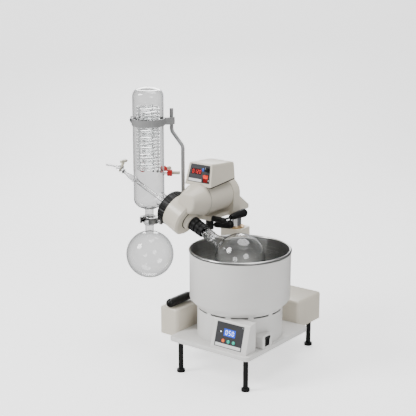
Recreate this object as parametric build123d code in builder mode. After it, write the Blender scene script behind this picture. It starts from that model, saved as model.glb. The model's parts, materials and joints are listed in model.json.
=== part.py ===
from build123d import *
from math import atan2, cos, degrees, hypot, radians, sin, sqrt, tan
import os

os.makedirs("parts", exist_ok=True)

# Rotary evaporator: the origin is the bath's axis on the table, +X to the right,
# +Y to the back and +Z up, in millimetres.

# Clearances
seat_gap = 0.3          # air round a moving piece or a loosely seated one
running_fit = 0.05      # radial play of a shaft in its bore

# Base
base_height = 75.0      # the cast base, from its open bottom to its top
base_lift = 80.0        # its bottom above the table
base_wall = 4.0
base_corner = 10.0
base_edge = 6.0
arm_width = 62.0        # the left arm, across
arm_front = -102.0      # where the left arm starts, in Y
rear_depth = 115.0      # the rear beam, front to back
rear_right = 93.0       # the rear beam's right end, in X
cover_thick = 3.0

# Bath tray and legs
tray_left = -128.0
tray_right = 124.0
tray_front = -140.0
tray_back = 143.0
tray_height = 95.0      # its top above the table
tray_sheet = 2.5
tray_lip = 12.0
tray_corner = 12.0
leg_radius = 6.5
leg_collar = 9.5
collar_height = 5.0
pad_radius = 11.0
pad_height = 7.0
leg_inset_left = 31.0
leg_inset_right = 14.0
leg_inset_front = 12.0
leg_inset_rear = 24.0
screw_head_radius = 4.5
screw_head_height = 3.0
screw_radius = 2.5

# Column and lift post
column_x = -158.0
column_y = 198.0
column_width = 72.0
column_depth = 66.0
column_taper = 1.2
column_height = 158.0   # above the base
column_corner = 12.0
post_radius = 17.0
post_wall = 3.0
post_length = 215.0
post_depth = 160.0      # how much of it is in the column at rest
bush_wall = 4.0
bush_length = 42.0
bush_flange = 5.0
bush_flange_height = 3.0

# Brake release lever
lever_pivot_y = 0.0
lever_pivot_drop = 15.0  # the pivot below the base's top
lever_pin_radius = 4.0
lever_plate = 5.0
lever_boss_radius = 11.0
lever_cross = 14.0
grip_radius = 11.5
grip_length = 93.0
grip_side = 29.0         # grip centre left of the arm's inner face
grip_rest = 1.5          # the grip above the base
rest_inset = 12.0        # a low pad under the grip's end
rest_width = 16.0
rest_depth = 10.0
rest_corner = 3.0
grip_rod_radius = 5.0
grip_rod_length = 40.0
grip_waist = 2.0         # how much thinner the grip is at its root
grip_waist_length = 6.0
lever_shoulder = 1.0     # the cross bar above and below the rod
bar_proud = 4.0          # the cross bar before the boss
bar_end = 2.0            # the cross bar past the rod, to the left
bar_round = 3.0
lever_pin_reach = 8.0    # the pin past the arm's wall

# Bath
pedestal_radius = 112.0
pedestal_height = 80.0
pedestal_wall = 2.0
slot_count = 12
slot_arc = 23.0          # degrees
slot_turn = 5.0          # the first slot's angle from +X
slot_height = 4.0
slot_drop = 4.0          # slot centre below the pedestal's top
drum_margin = 5.0        # the drum's radius past the bowl's
drum_cone = 20.0         # height of the sloping underside
drum_knuckle = 5.0       # the bend between underside and wall, across
knuckle_below = 6.0
knuckle_above = 2.0
shell_flange = 12.0      # the flange on the pedestal, inwards
drum_wall = 1.5
drum_height = 143.0
rim_bead = 3.5
rim_turn = 1.0           # how far the bead's end turns back up
bowl_radius = 127.0
bowl_depth = 140.0
bowl_wall = 1.2
bowl_corner = 30.0
heater_radius = 78.0
heater_tube = 4.5
heater_arc = 350.0       # degrees

# Bath control box
box_left = 2.0
box_width = 111.0
box_foot = 21.0          # how far its foot stands out before the pedestal
box_tilt = 15.0
box_height = 76.0
box_wall = 3.0
box_edge = 4.0
box_back = 43.0          # how far its side walls run back
box_roof_rise = 3.0
bath_plate_width = 84.0
bath_plate_height = 64.0
bath_plate_shift = -2.5
plate_thick = 2.0
bath_display_width = 35.0
bath_display_height = 18.5
bath_display_rise = 7.5
bath_button_radius = 4.4
bath_button_pitch = 16.0
bath_button_drop = 14.3
bath_button_proud = 1.6
button_flange = 1.0      # a button's collar behind its plate
button_flange_thick = 1.3
side_box_length = 42.0
side_box_height = 34.0
side_box_inset = 2.0     # in from the tray's right edge
side_box_start = 62.0    # behind the control box's foot
bath_rocker_width = 20.0
bath_rocker_height = 26.0
rocker_depth = 9.0       # how deep a rocker sits in its frame
rocker_pin = 1.5
rocker_pin_seat = 1.5
rocker_frame = 2.0
rocker_back = 1.0        # its rounded back short of the frame's

# Drive line: from the flask's centre, rising to the left
drive_tilt = 24.0
flask_radius = 65.5
flask_drop = 27.3        # the flask's centre below the bath's rim
glass_wall = 2.0
neck_radius = 14.0
neck_end = 150.0         # distances up the drive line from the flask's centre
neck_start = 98.0
neck_flare = 12.0
bead_count = 3
bead_first = 5.6         # the first bead above the neck's start
bead_pitch = 7.0
bead_proud = 1.4
clip_start = 127.0
clip_mid = 151.0
clip_end = 174.5
clip_radius = 18.5
clip_groove = 2.0
clip_groove_depth = 2.5
clip_step = 0.5          # the upper ring's radius past the lower one's
clip_bevel = 1.5
clip_bevel_length = 2.0
nose_radius = 15.0
nose_start = 152.0
seal_start = 175.5
seal_radius = 23.0
seal_bevel = 1.5
gearcase_start = 185.0
gearcase_end = 246.0
gearcase_radius = 49.0
gearcase_back_radius = 46.0
gearcase_wall = 5.0
gearcase_edge = 5.0
hub_radius = 20.0
hub_gap = 1.0            # between the case's front wall and the hub's shoulder
duct_radius = 10.0
duct_end = 262.0
cone_radius = 11.7
cone_length = 30.0
cone_taper = 2.0
cone_step = 1.5
wheel_teeth = 38
wheel_module = 2.0
wheel_width = 14.0
tooth_gap = 2.6
worm_radius = 12.6
worm_length = 34.0
worm_rings = 5
thread_depth = 3.0
crest_share = 0.3        # of a ring's pitch
worm_shaft_radius = 6.0
worm_room = 2.0          # air round the worm in the gear case
worm_seat = 5.0          # how deep the shaft's front end sits
worm_front = -18.0       # the front of that room, in Y
worm_place = 198.0       # where the worm crosses the drive line
bearing_width = 9.0
bearing_wall = 10.0
bearing_gap = 2.0
race_wall = 3.5
race_depth = 1.5
nut_length = 19.0
nut_radius = 44.0
nut_taper = 5.0
nut_straight = 8.5
nut_bevel = 2.0
nut_flutes = 24
nut_flute_radius = 1.6
nut_flute_shift = 0.6    # the flutes' centres outside the nut
vapour_seal_width = 4.0
port_radius = 18.0
port_flange = 24.0
flange_width = 5.0

# Motor head
barrel_radius = 45.0
barrel_front = 30.0      # the seam between gear case and barrel, in Y
barrel_length = 103.0
barrel_wall = 4.0
barrel_edge = 8.0
seam_depth = 1.2
seam_width = 1.5
dome_front = -26.0
dome_radius = 27.0
dome_round = 8.0
shoulder_drop = 9.0      # the straight rim before the seam
shoulder_round = 16.0
pivot_radius = 30.0
pivot_length = 30.0
motor_radius = 37.0
motor_length = 66.0
motor_front = 58.0
motor_bevel = 3.0
motor_boss_radius = 22.0
shaft_lap = 12.0         # how far the shaft reaches into the motor

# Head control box
control_width = 87.0
control_top_width = 75.4
control_tilt = 13.7
control_front = 28.0     # its lower front edge, in Y
control_rise = 38.0      # that edge above the barrel's axis
control_height = 60.0
control_length = 110.0
control_top_fall = 7.0
control_back_rise = 8.0
control_wall = 2.5
control_edge = 5.0
face_top_width = 64.0
face_bottom_width = 74.0
face_height = 48.0
face_rise = 2.4          # the panel's middle above the front's
display_width = 34.0
display_height = 15.5
display_left = -10.8
display_rise = 4.6
knob_radius = 6.2
knob_height = 9.0
knob_taper = 0.8
knob_bevel = 1.0
knob_spindle = 4.0       # how far the spindle reaches behind the panel
knob_spindle_radius = 3.0
knob_right = 24.2
knob_rise = 12.6
button_radius = 4.3
button_right = 11.6
button_rise = 11.2
button_proud = 2.5
rocker_width = 15.0
rocker_height = 20.0
rocker_right = 21.8
rocker_drop = 11.8
rocker_arc = 3.0         # how far a rocker's upper end stands out
rocker_sink = 1.0

# Bracket on the lift post
bracket_width = 50.0
bracket_wall = 12.0
cradle_depth = 13.0
cradle_gap = 3.0
cradle_front = 52.0

# Clamp levers
tilt_hub_x = -102.0
tilt_hub_y = 59.0
hub_size = 8.0
lever_rod_radius = 3.0
lever_reach = 38.0
lever_grip_length = 72.0
lever_grip_radius = 12.0
lever_root_radius = 6.5
lever_waist_radius = 8.5
lever_waist_length = 10.0
lever_rod_lap = 20.0     # how far a lever's rod reaches into its grip
lock_hub_x = -146.0
lock_hub_y = 62.0
lock_hub_size = 11.0
lock_drop = 2.0          # the grip below the cradle
lock_angle = 42.0
lock_reach = 12.0
lock_grip_length = 54.0

# Condenser
condenser_x = -307.0
condenser_radius = 42.0
condenser_top = 719.0    # heights above the table
condenser_bottom = 382.0
tail_length = 30.0       # from there to the ball's centre
condenser_wall = 2.5
crown_drop = 12.0        # the crown's rim below its top
crown_round = 22.0
bottom_rise = 14.0       # the jacket's sloping bottom
bottom_round = 26.0
coil_radius = 29.5
coil_tube = 3.6
coil_pitch = 9.3
coil_turns = 19
coil_lift = 7.0          # the first turn above the ports
inner_coil_radius = 15.0
riser_radius = 3.5
tail_radius = 12.0
ball_radius = 17.5
ball_mouth = 9.0         # radius of the ball's open lower end
cup_rim_drop = 3.0       # the cup's rim below the ball's centre
receiver_drop = 99.0     # from the ball's centre to the receiving flask's
receiver_neck = 12.0
joint_clamp_radius = 22.0
joint_clamp_height = 16.0
joint_clamp_wall = 2.5
joint_clamp_plate = 2.0
joint_clamp_mouth = 26.0 # the gap that lets it slide on
clamp_screw_radius = 3.0
clamp_screw_length = 14.0
clamp_nut_radius = 6.5
clamp_nut_length = 6.0
port_height = 484.0
port_tube = 5.0
port_reach = 12.0
port_angles = (35, 85, 150)
cap_radius = 8.5
cap_length = 13.0
cap_sides = 12
cap_lap = 7.8            # how much of it lies over the port
barb_radius = 3.6
barb_length = 20.0
barb_count = 3
barb_rise = 0.6
barb_taper = 12.0

# Support rod and clamp band
rod_radius = 5.0
rod_x = -228.0
rod_y = 50.0
rod_low = 430.0
rod_knee = 559.0
rod_top = 659.0
rod_shift = 38.5         # how far the upper run stands to the left
rod_corner = 18.0
holder_height = 30.0
holder_width = 24.0
holder_foot = 4.0        # below the rod's end
holder_lap = 8.0         # into the barrel, before that is cut away
band_height = 19.0
band_centre = 625.0
band_wall = 2.5
band_ear = 12.0
band_arm = 9.0
band_split = 4.0
band_screw_radius = 2.5
band_nut_radius = 5.5
band_nut_height = 5.0
band_screw_end = 8.0

# Feed tube and its tap
feed_radius = 3.5
feed_glass = 1.2         # its wall
feed_start = 150.0       # its lower end, up the drive line
feed_boss = 12.0         # the jacket's boss past the wall, along the drive line
feed_boss_wall = 3.0
joint_lead = 13.0        # bare tube from the jacket's wall to the ground joint
joint_radius = 7.6
joint_length = 17.0
joint_slope = 10.0
joint_taper = 2.0
joint_neck = 4.0
joint_neck_radius = 4.5
tap_lead = 10.0          # bare tube from the joint to the tap
tap_length = 22.0
tap_radius = 7.5
tap_collar_wall = 2.5
tap_collar_rise = 3.0
tap_bore = 1.6
key_radius = 4.0
key_length = 30.0
key_seat = 5.0           # how deep the key sits below the tap's centre
key_bar_radius = 3.5
key_bar = 24.0
key_round = 2.0
nozzle_drop = 6.0
nozzle_length = 38.0
nozzle_radius = 3.2
nozzle_root_radius = 2.8 # its sloping run, slimmer than the straight one
nozzle_lap = 1.3         # how far that run reaches into the straight one

# Worked out from the sizes above
base_top = base_lift + base_height
arm_left = tray_left - arm_width
rear_back = tray_back + rear_depth
grip_x = tray_left - grip_side
rim_height = tray_height + pedestal_height + drum_height + 2 * rim_bead
drum_radius = bowl_radius + drum_margin
pedestal_top = tray_height + pedestal_height
slope = radians(drive_tilt)
drive_dir = Vector(-cos(slope), 0, sin(slope))
drive_up = Vector(sin(slope), 0, cos(slope))
flask_centre = Vector(0, 0, rim_height - flask_drop)
drive_axis = Axis(flask_centre, drive_dir)
drive_half = Plane(origin=flask_centre, x_dir=drive_up, z_dir=(0, -1, 0))
wheel_radius = wheel_module * wheel_teeth / 2 - seat_gap
centre_distance = wheel_radius + worm_radius + seat_gap
barrel_point = flask_centre + drive_dir * worm_place + drive_up * centre_distance
barrel_x = barrel_point.X
barrel_z = barrel_point.Z
barrel_axis = Axis((barrel_x, 0, barrel_z), (0, 1, 0))
barrel_half = Plane(origin=(barrel_x, 0, barrel_z), x_dir=(1, 0, 0), z_dir=(0, 0, 1))
barrel_back = barrel_front + barrel_length
bath_half = Plane.XZ
condenser_half = Plane(origin=(condenser_x, 0, 0), x_dir=(1, 0, 0), z_dir=(0, -1, 0))
condenser_axis = Axis((condenser_x, 0, 0), (0, 0, 1))
condenser_reach = (flask_centre.X - condenser_x) / cos(slope)
ball_height = condenser_bottom - tail_length
receiver_height = ball_height - receiver_drop
coil_bottom = port_height + coil_lift
feed_wall = condenser_reach + condenser_radius / cos(slope)
joint_start = feed_wall + joint_lead
joint_end = joint_start + joint_length + joint_slope + joint_neck
tap_start = joint_end + tap_lead
tap_end = tap_start + tap_length


def drive_plane(distance):
    """A plane across the drive line, so far up it from the flask's centre."""
    return Plane(origin=flask_centre + drive_dir * distance, x_dir=(0, 1, 0), z_dir=drive_dir)


def barrel_plane(place):
    """A plane across the motor barrel at this Y, facing back."""
    return Plane(origin=(barrel_x, place, barrel_z), x_dir=(-1, 0, 0), z_dir=(0, 1, 0))


def upright(plane):
    """The plane that holds this plane's x direction and its normal, for turned profiles."""
    return Plane(origin=plane.origin, x_dir=plane.x_dir, z_dir=-plane.y_dir)


def shifted(plane, right, up):
    """The same plane with its origin moved along its own x and y directions."""
    origin = plane.origin + plane.x_dir * right + plane.y_dir * up
    return Plane(origin=origin, x_dir=plane.x_dir, z_dir=plane.z_dir)


def base_outline(inset):
    """The L of the base, seen from above, drawn in by the inset."""
    corners = [
        (arm_left + inset, arm_front + inset),
        (tray_left - inset, arm_front + inset),
        (tray_left - inset, tray_back + inset),
        (rear_right - inset, tray_back + inset),
        (rear_right - inset, rear_back - inset),
        (arm_left + inset, rear_back - inset),
    ]
    with BuildSketch() as outline:
        with BuildLine():
            Polyline(*corners, close=True)
        make_face()
        inner = outline.vertices().sort_by_distance((tray_left - inset, tray_back + inset))[0]
        outer = [corner for corner in outline.vertices() if corner != inner]
        fillet(outer, base_corner - inset)
    return outline.sketch


def screw_plane_at(place):
    """A plane across the tray's side screws at this X, facing left."""
    height = tray_height - (tray_lip + tray_sheet) / 2
    return Plane(origin=(place, 0, height), x_dir=(0, 1, 0), z_dir=(-1, 0, 0))


screw_places = [(arm_front / 2, 0), (tray_back / 2, 0)]

# Base: an L-shaped casting, open below, with a sheet cover
with BuildPart() as base_body:
    with BuildSketch(Plane.XY.offset(base_lift)):
        add(base_outline(0))
    extrude(amount=base_height)
    fillet(base_body.faces().sort_by(Axis.Z)[-1].edges(), base_edge)
    with BuildSketch(Plane.XY.offset(base_lift)):
        add(base_outline(base_wall))
    extrude(amount=base_height - base_wall, mode=Mode.SUBTRACT)
    with Locations((column_x, column_y, base_top)):
        Hole(post_radius + bush_wall)
    with BuildSketch(Plane.YZ.offset(tray_left)):
        with Locations((lever_pivot_y, base_top - lever_pivot_drop)):
            Circle(lever_pin_radius + running_fit)
    extrude(amount=-base_wall, mode=Mode.SUBTRACT)
    with BuildSketch(screw_plane_at(tray_left)):
        with Locations(*screw_places):
            Circle(screw_radius + running_fit)
    extrude(amount=base_wall, mode=Mode.SUBTRACT)
    with BuildSketch(Plane.XY.offset(base_top)):
        with Locations((grip_x, lever_pivot_y - lever_boss_radius - grip_length + rest_inset)):
            RectangleRounded(rest_width, rest_depth, rest_corner)
    extrude(amount=grip_rest - seat_gap)
base_body.part.label = "base_body"
export_step(base_body.part, "parts/base_body.step")

with BuildPart() as base_cover:
    with BuildSketch(Plane.XY.offset(base_lift)):
        add(base_outline(base_wall))
    extrude(amount=cover_thick)
base_cover.part.label = "base_cover"
export_step(base_cover.part, "parts/base_cover.step")

# Tray for the bath: a sheet with turned-down lips
with BuildPart() as bath_tray:
    tray_width = tray_right - tray_left
    tray_depth = tray_back - tray_front
    inner_width = tray_width - 2 * tray_sheet
    inner_depth = tray_depth - 2 * tray_sheet
    tray_centre = ((tray_left + tray_right) / 2, (tray_front + tray_back) / 2)
    with BuildSketch(Plane.XY.offset(tray_height - tray_lip)):
        with Locations(tray_centre):
            RectangleRounded(tray_width, tray_depth, tray_corner)
    extrude(amount=tray_lip)
    fillet(bath_tray.faces().sort_by(Axis.Z)[-1].edges(), tray_sheet)
    with BuildSketch(Plane.XY.offset(tray_height - tray_lip)):
        with Locations(tray_centre):
            RectangleRounded(inner_width, inner_depth, tray_corner - tray_sheet)
    extrude(amount=tray_lip - tray_sheet, mode=Mode.SUBTRACT)
    with BuildSketch(screw_plane_at(tray_left + tray_sheet)):
        with Locations(*screw_places):
            Circle(screw_radius + running_fit)
    extrude(amount=tray_sheet, mode=Mode.SUBTRACT)
bath_tray.part.label = "bath_tray"
export_step(bath_tray.part, "parts/bath_tray.step")

# Legs: black posts with a collar above and a foot pad below
tray_legs = [
    (tray_left + leg_inset_left, tray_front + leg_inset_front),
    (tray_right - leg_inset_right, tray_front + leg_inset_front),
]
base_legs = [
    (arm_left + leg_inset_rear, rear_back - leg_inset_rear),
    (rear_right - leg_inset_rear, rear_back - leg_inset_rear),
]
with BuildPart() as legs:
    for places, top in ((tray_legs, tray_height - tray_sheet), (base_legs, base_lift)):
        for heights, radius in (
            ((0, pad_height), pad_radius),
            ((pad_height, top - collar_height), leg_radius),
            ((top - collar_height, top), leg_collar),
        ):
            with BuildSketch(Plane.XY.offset(heights[0])):
                with Locations(*places):
                    Circle(radius)
            extrude(amount=heights[1] - heights[0])
legs.part.label = "legs"
export_step(legs.part, "parts/legs.step")

# Screws that hold the tray's lip to the base
with BuildPart() as tray_screws:
    with BuildSketch(screw_plane_at(tray_left + tray_sheet + screw_head_height)):
        with Locations(*screw_places):
            Circle(screw_head_radius)
    extrude(amount=screw_head_height)
    with BuildSketch(screw_plane_at(tray_left + tray_sheet)):
        with Locations(*screw_places):
            Circle(screw_radius)
    extrude(amount=tray_sheet + base_wall)
tray_screws.part.label = "tray_screws"
export_step(tray_screws.part, "parts/tray_screws.step")

# Column: a tapered casting on the base, bored for the bush
with BuildPart() as column_sleeve:
    with BuildSketch(Plane.XY.offset(base_top)):
        with Locations((column_x, column_y)):
            RectangleRounded(column_width, column_depth, column_corner)
    extrude(amount=column_height, taper=column_taper)
    with Locations((column_x, column_y, base_top + column_height)):
        Hole(post_radius + bush_wall)
column_sleeve.part.label = "column_sleeve"
export_step(column_sleeve.part, "parts/column_sleeve.step")

# Bushes: a flanged one at the column's top and a plain one at its foot
with BuildPart() as guide_bushes:
    column_top = base_top + column_height
    for bottom, top, radius in (
        (base_top - base_wall, base_top - base_wall + bush_length / 2, post_radius + bush_wall),
        (column_top - bush_length, column_top, post_radius + bush_wall),
        (column_top, column_top + bush_flange_height, post_radius + bush_wall + bush_flange),
    ):
        with BuildSketch(Plane.XY.offset(bottom)):
            with Locations((column_x, column_y)):
                Circle(radius)
                Circle(post_radius + running_fit, mode=Mode.SUBTRACT)
        extrude(amount=top - bottom)
guide_bushes.part.label = "guide_bushes"
export_step(guide_bushes.part, "parts/guide_bushes.step")

# Lift post: a bright tube that slides in the bushes
post_bottom = column_top - post_depth
post_top = post_bottom + post_length
with BuildPart() as lift_post:
    with BuildSketch(Plane.XY.offset(post_bottom)):
        with Locations((column_x, column_y)):
            Circle(post_radius)
            Circle(post_radius - post_wall, mode=Mode.SUBTRACT)
    extrude(amount=post_length)
lift_post.part.label = "lift_post"
export_step(lift_post.part, "parts/lift_post.step")

# Bracket: it stands on the post, holds the barrel's pivot and reaches under the barrel
bracket_front = barrel_back + seat_gap
bracket_back = column_y + post_radius + bracket_wall
cradle_top = barrel_z - barrel_radius - cradle_gap
cradle_bottom = cradle_top - cradle_depth
bracket_outer = pivot_radius + bracket_wall
with BuildPart() as lift_bracket:
    with BuildSketch(Plane.XZ.offset(-bracket_front)):
        with Locations((barrel_x, barrel_z)):
            Circle(bracket_outer)
        with Locations((barrel_x, (barrel_z + cradle_bottom) / 2)):
            Rectangle(2 * bracket_outer, barrel_z - cradle_bottom)
    extrude(amount=-(pivot_length + seat_gap))
    with BuildSketch(Plane.YZ.offset(column_x)):
        with BuildLine():
            Polyline(
                (cradle_front, cradle_bottom),
                (cradle_front, cradle_top),
                (bracket_front + pivot_length, cradle_top),
                (bracket_front + pivot_length, barrel_z),
                (bracket_back, cradle_top),
                (bracket_back, cradle_bottom),
                close=True,
            )
        make_face()
    extrude(amount=bracket_width / 2, both=True)
    long_edges = lift_bracket.edges().filter_by(Axis.Y).group_by(Axis.Z)[0]
    fillet(long_edges, base_edge)
    with BuildSketch(Plane.XZ.offset(-bracket_front)):
        with Locations((barrel_x, barrel_z)):
            Circle(pivot_radius + running_fit)
    extrude(amount=-(pivot_length + seat_gap), mode=Mode.SUBTRACT)
    with BuildSketch(Plane.XY.offset(cradle_bottom)):
        with Locations((column_x, column_y)):
            Circle(post_radius + running_fit)
    extrude(amount=post_top - cradle_bottom, mode=Mode.SUBTRACT)
lift_bracket.part.label = "lift_bracket"
export_step(lift_bracket.part, "parts/lift_bracket.step")

# Brake release lever on the left arm: an outer plate, a cross bar and a rod for the grip
lever_pivot_z = base_top - lever_pivot_drop
grip_z = base_top + grip_radius + grip_rest
grip_root = lever_pivot_y - lever_boss_radius
with BuildPart() as brake_lever:
    with BuildSketch(Plane.YZ.offset(tray_left + seat_gap)):
        with Locations((lever_pivot_y, lever_pivot_z)):
            Circle(lever_boss_radius)
        with BuildLine():
            Polyline(
                (lever_pivot_y + lever_boss_radius, lever_pivot_z),
                (lever_pivot_y, grip_z + grip_rod_radius + lever_shoulder),
                (grip_root - lever_cross / 2, grip_z + grip_rod_radius + lever_shoulder),
                (lever_pivot_y - lever_boss_radius, lever_pivot_z),
                close=True,
            )
        make_face()
    extrude(amount=lever_plate)
    bar_left = grip_x - grip_rod_radius - bar_end
    with BuildSketch(Plane.YZ.offset(bar_left)):
        with Locations((grip_root + lever_cross / 2 - bar_proud, grip_z)):
            RectangleRounded(lever_cross, 2 * (grip_rod_radius + lever_shoulder), bar_round)
    extrude(amount=tray_left + seat_gap - bar_left)
    with BuildSketch(Plane.XZ.offset(-(grip_root - grip_rod_length))):
        with Locations((grip_x, grip_z)):
            Circle(grip_rod_radius)
    extrude(amount=-grip_rod_length)
    with BuildSketch(Plane.YZ.offset(tray_left + seat_gap)):
        with Locations((lever_pivot_y, lever_pivot_z)):
            Circle(lever_pin_radius)
    extrude(amount=-(base_wall + lever_pin_reach))
brake_lever.part.label = "brake_lever"
export_step(brake_lever.part, "parts/brake_lever.step")

with BuildPart() as lever_grip:
    grip_half = Plane(origin=(grip_x, grip_root - bar_proud, grip_z), x_dir=(1, 0, 0), z_dir=(0, 0, -1))
    with BuildSketch(grip_half):
        with BuildLine():
            Polyline(
                (0, grip_length),
                (0, 0),
                (grip_radius - grip_waist, 0),
                (grip_radius, grip_waist_length),
                (grip_radius, grip_length - grip_radius),
            )
            RadiusArc((grip_radius, grip_length - grip_radius), (0, grip_length), -grip_radius)
        make_face()
    revolve(axis=Axis((grip_x, 0, grip_z), (0, 1, 0)))
    with BuildSketch(Plane.XZ.offset(-(grip_root - grip_rod_length - seat_gap))):
        with Locations((grip_x, grip_z)):
            Circle(grip_rod_radius)
    extrude(amount=-(grip_rod_length + seat_gap), mode=Mode.SUBTRACT)
lever_grip.part.label = "lever_grip"
export_step(lever_grip.part, "parts/lever_grip.step")

# Bath pedestal with a ring of vent slots
with BuildSketch() as slot_wedge:
    with BuildLine():
        slot_reach = pedestal_radius + pedestal_wall
        slot_half = slot_reach * tan(radians(slot_arc / 2))
        Polyline((0, 0), (slot_reach, -slot_half), (slot_reach, slot_half), close=True)
    make_face()

with BuildPart() as bath_pedestal:
    with BuildSketch(Plane.XY.offset(tray_height)):
        Circle(pedestal_radius)
        Circle(pedestal_radius - pedestal_wall, mode=Mode.SUBTRACT)
    extrude(amount=pedestal_height)
    slot_bottom = pedestal_top - slot_drop - slot_height / 2
    with BuildSketch(Plane.XY.offset(slot_bottom)):
        with PolarLocations(0, slot_count, start_angle=slot_turn):
            add(slot_wedge.sketch)
        Circle(pedestal_radius - 2 * pedestal_wall, mode=Mode.SUBTRACT)
    extrude(amount=slot_height, mode=Mode.SUBTRACT)
bath_pedestal.part.label = "bath_pedestal"
export_step(bath_pedestal.part, "parts/bath_pedestal.step")

# Bath shell: the painted drum with a sloping underside
drum_top = rim_height - 2 * rim_bead - seat_gap
knuckle_height = pedestal_top + drum_cone
with BuildPart() as bath_shell:
    with BuildSketch(bath_half):
        with BuildLine():
            Polyline(
                (pedestal_radius - shell_flange, pedestal_top),
                (pedestal_radius, pedestal_top),
                (drum_radius - drum_knuckle, knuckle_height - knuckle_below),
                (drum_radius, knuckle_height + knuckle_above),
                (drum_radius, drum_top),
                (drum_radius - drum_wall, drum_top),
                (drum_radius - drum_wall, knuckle_height + knuckle_above + drum_wall),
                (pedestal_radius - drum_wall, pedestal_top + drum_wall),
                (pedestal_radius - shell_flange, pedestal_top + drum_wall),
                close=True,
            )
        make_face()
    revolve(axis=Axis.Z)
bath_shell.part.label = "bath_shell"
export_step(bath_shell.part, "parts/bath_shell.step")

# Bath bowl: a deep drawn bowl with a rolled rim
with BuildPart() as bath_bowl:
    bowl_bottom = rim_height - bowl_depth
    bowl_outer = bowl_radius + bowl_wall
    bead_x = bowl_radius + rim_bead
    floor_radius = bowl_radius - bowl_corner
    corner_top = bowl_bottom + bowl_corner
    with BuildSketch(bath_half):
        with BuildLine():
            Line((0, bowl_bottom), (floor_radius, bowl_bottom))
            RadiusArc((floor_radius, bowl_bottom), (bowl_radius, corner_top), -bowl_corner)
            Line((bowl_radius, corner_top), (bowl_radius, rim_height - rim_bead))
            ThreePointArc(
                (bowl_radius, rim_height - rim_bead),
                (bead_x, rim_height),
                (bead_x + rim_bead, rim_height - rim_bead),
            )
            ThreePointArc(
                (bead_x + rim_bead, rim_height - rim_bead),
                (bead_x, rim_height - 2 * rim_bead),
                (bowl_outer, rim_height - 2 * rim_bead + rim_turn),
            )
            Line((bowl_outer, rim_height - 2 * rim_bead + rim_turn), (bowl_outer, corner_top))
            RadiusArc(
                (bowl_outer, corner_top), (floor_radius, bowl_bottom - bowl_wall), bowl_corner + bowl_wall
            )
            Polyline((floor_radius, bowl_bottom - bowl_wall), (0, bowl_bottom - bowl_wall), (0, bowl_bottom))
        make_face()
    revolve(axis=Axis.Z)
bath_bowl.part.label = "bath_bowl"
export_step(bath_bowl.part, "parts/bath_bowl.step")

# Heater: a ring of sheathed tube under the bowl, with its two leads going down
with BuildPart() as bath_heater:
    heater_z = bowl_bottom - bowl_wall - heater_tube
    with BuildSketch(bath_half):
        with Locations((heater_radius, heater_z)):
            Circle(heater_tube)
    revolve(axis=Axis.Z, revolution_arc=heater_arc)
bath_heater.part.label = "bath_heater"
export_step(bath_heater.part, "parts/bath_heater.step")

# Bath control box: a console before the pedestal, its face leaning back
box_centre_x = box_left + box_width / 2
box_foot_y = -pedestal_radius - box_foot
face_lean = Vector(0, sin(radians(box_tilt)), cos(radians(box_tilt)))
face_out = Vector(0, -cos(radians(box_tilt)), sin(radians(box_tilt)))
face_origin = Vector(box_centre_x, box_foot_y, tray_height) + face_lean * (box_height / 2)
bath_plate_face = Plane(origin=face_origin + Vector(bath_plate_shift, 0, 0), x_dir=(1, 0, 0), z_dir=face_out)
box_top = tray_height + box_height * cos(radians(box_tilt))
box_top_y = box_foot_y + box_height * sin(radians(box_tilt))
with BuildPart() as bath_console:
    with BuildSketch(Plane.YZ.offset(box_left)):
        with BuildLine():
            Polyline(
                (box_foot_y, tray_height),
                (box_top_y, box_top),
                (box_foot_y + box_back, box_top + box_roof_rise),
                (box_foot_y + box_back, tray_height),
                close=True,
            )
        make_face()
    extrude(amount=box_width)
    fillet(bath_console.edges().filter_by(Axis.X).sort_by(Axis.Z)[-2:].sort_by(Axis.Y)[0], box_edge)
    with BuildSketch(Plane.XY.offset(tray_height)):
        Circle(pedestal_radius)
    extrude(amount=pedestal_height, mode=Mode.SUBTRACT)
    with BuildSketch(bath_plate_face):
        Rectangle(bath_plate_width, bath_plate_height)
    extrude(amount=-plate_thick, mode=Mode.SUBTRACT)
    with BuildSketch(bath_plate_face.offset(-plate_thick)):
        Rectangle(bath_plate_width - 4 * box_wall, bath_plate_height - 4 * box_wall)
    extrude(amount=-box_wall * 2, mode=Mode.SUBTRACT)
bath_console.part.label = "bath_console"
export_step(bath_console.part, "parts/bath_console.step")

with BuildPart() as bath_panel:
    with BuildSketch(bath_plate_face.offset(-plate_thick)):
        Rectangle(bath_plate_width - 2 * seat_gap, bath_plate_height - 2 * seat_gap)
        with Locations((0, bath_display_rise)):
            Rectangle(bath_display_width, bath_display_height, mode=Mode.SUBTRACT)
        with Locations((0, -bath_button_drop)):
            with GridLocations(bath_button_pitch, 1, 3, 1):
                Circle(bath_button_radius + seat_gap, mode=Mode.SUBTRACT)
    extrude(amount=plate_thick)
bath_panel.part.label = "bath_panel"
export_step(bath_panel.part, "parts/bath_panel.step")

with BuildPart() as bath_display:
    with BuildSketch(bath_plate_face.offset(-plate_thick)):
        with Locations((0, bath_display_rise)):
            Rectangle(bath_display_width, bath_display_height)
    extrude(amount=plate_thick - seat_gap)
bath_display.part.label = "bath_display"
export_step(bath_display.part, "parts/bath_display.step")


def push_button(plane, thick, radius, proud):
    """A round push button in a plate of this thickness, with a collar behind the plate."""
    with BuildPart() as button:
        with BuildSketch(plane.offset(-thick - proud)):
            Circle(radius)
        extrude(amount=thick + 2 * proud)
        with BuildSketch(plane.offset(-thick - seat_gap)):
            Circle(radius + button_flange)
        extrude(amount=-button_flange_thick)
    return button


def bath_button(place):
    """One of the three buttons of the bath's panel."""
    plane = shifted(bath_plate_face, place * bath_button_pitch, -bath_button_drop)
    return push_button(plane, plate_thick, bath_button_radius, bath_button_proud)


set_button = bath_button(-1)
set_button.part.label = "set_button"
export_step(set_button.part, "parts/set_button.step")

down_button = bath_button(0)
down_button.part.label = "down_button"
export_step(down_button.part, "parts/down_button.step")

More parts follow.
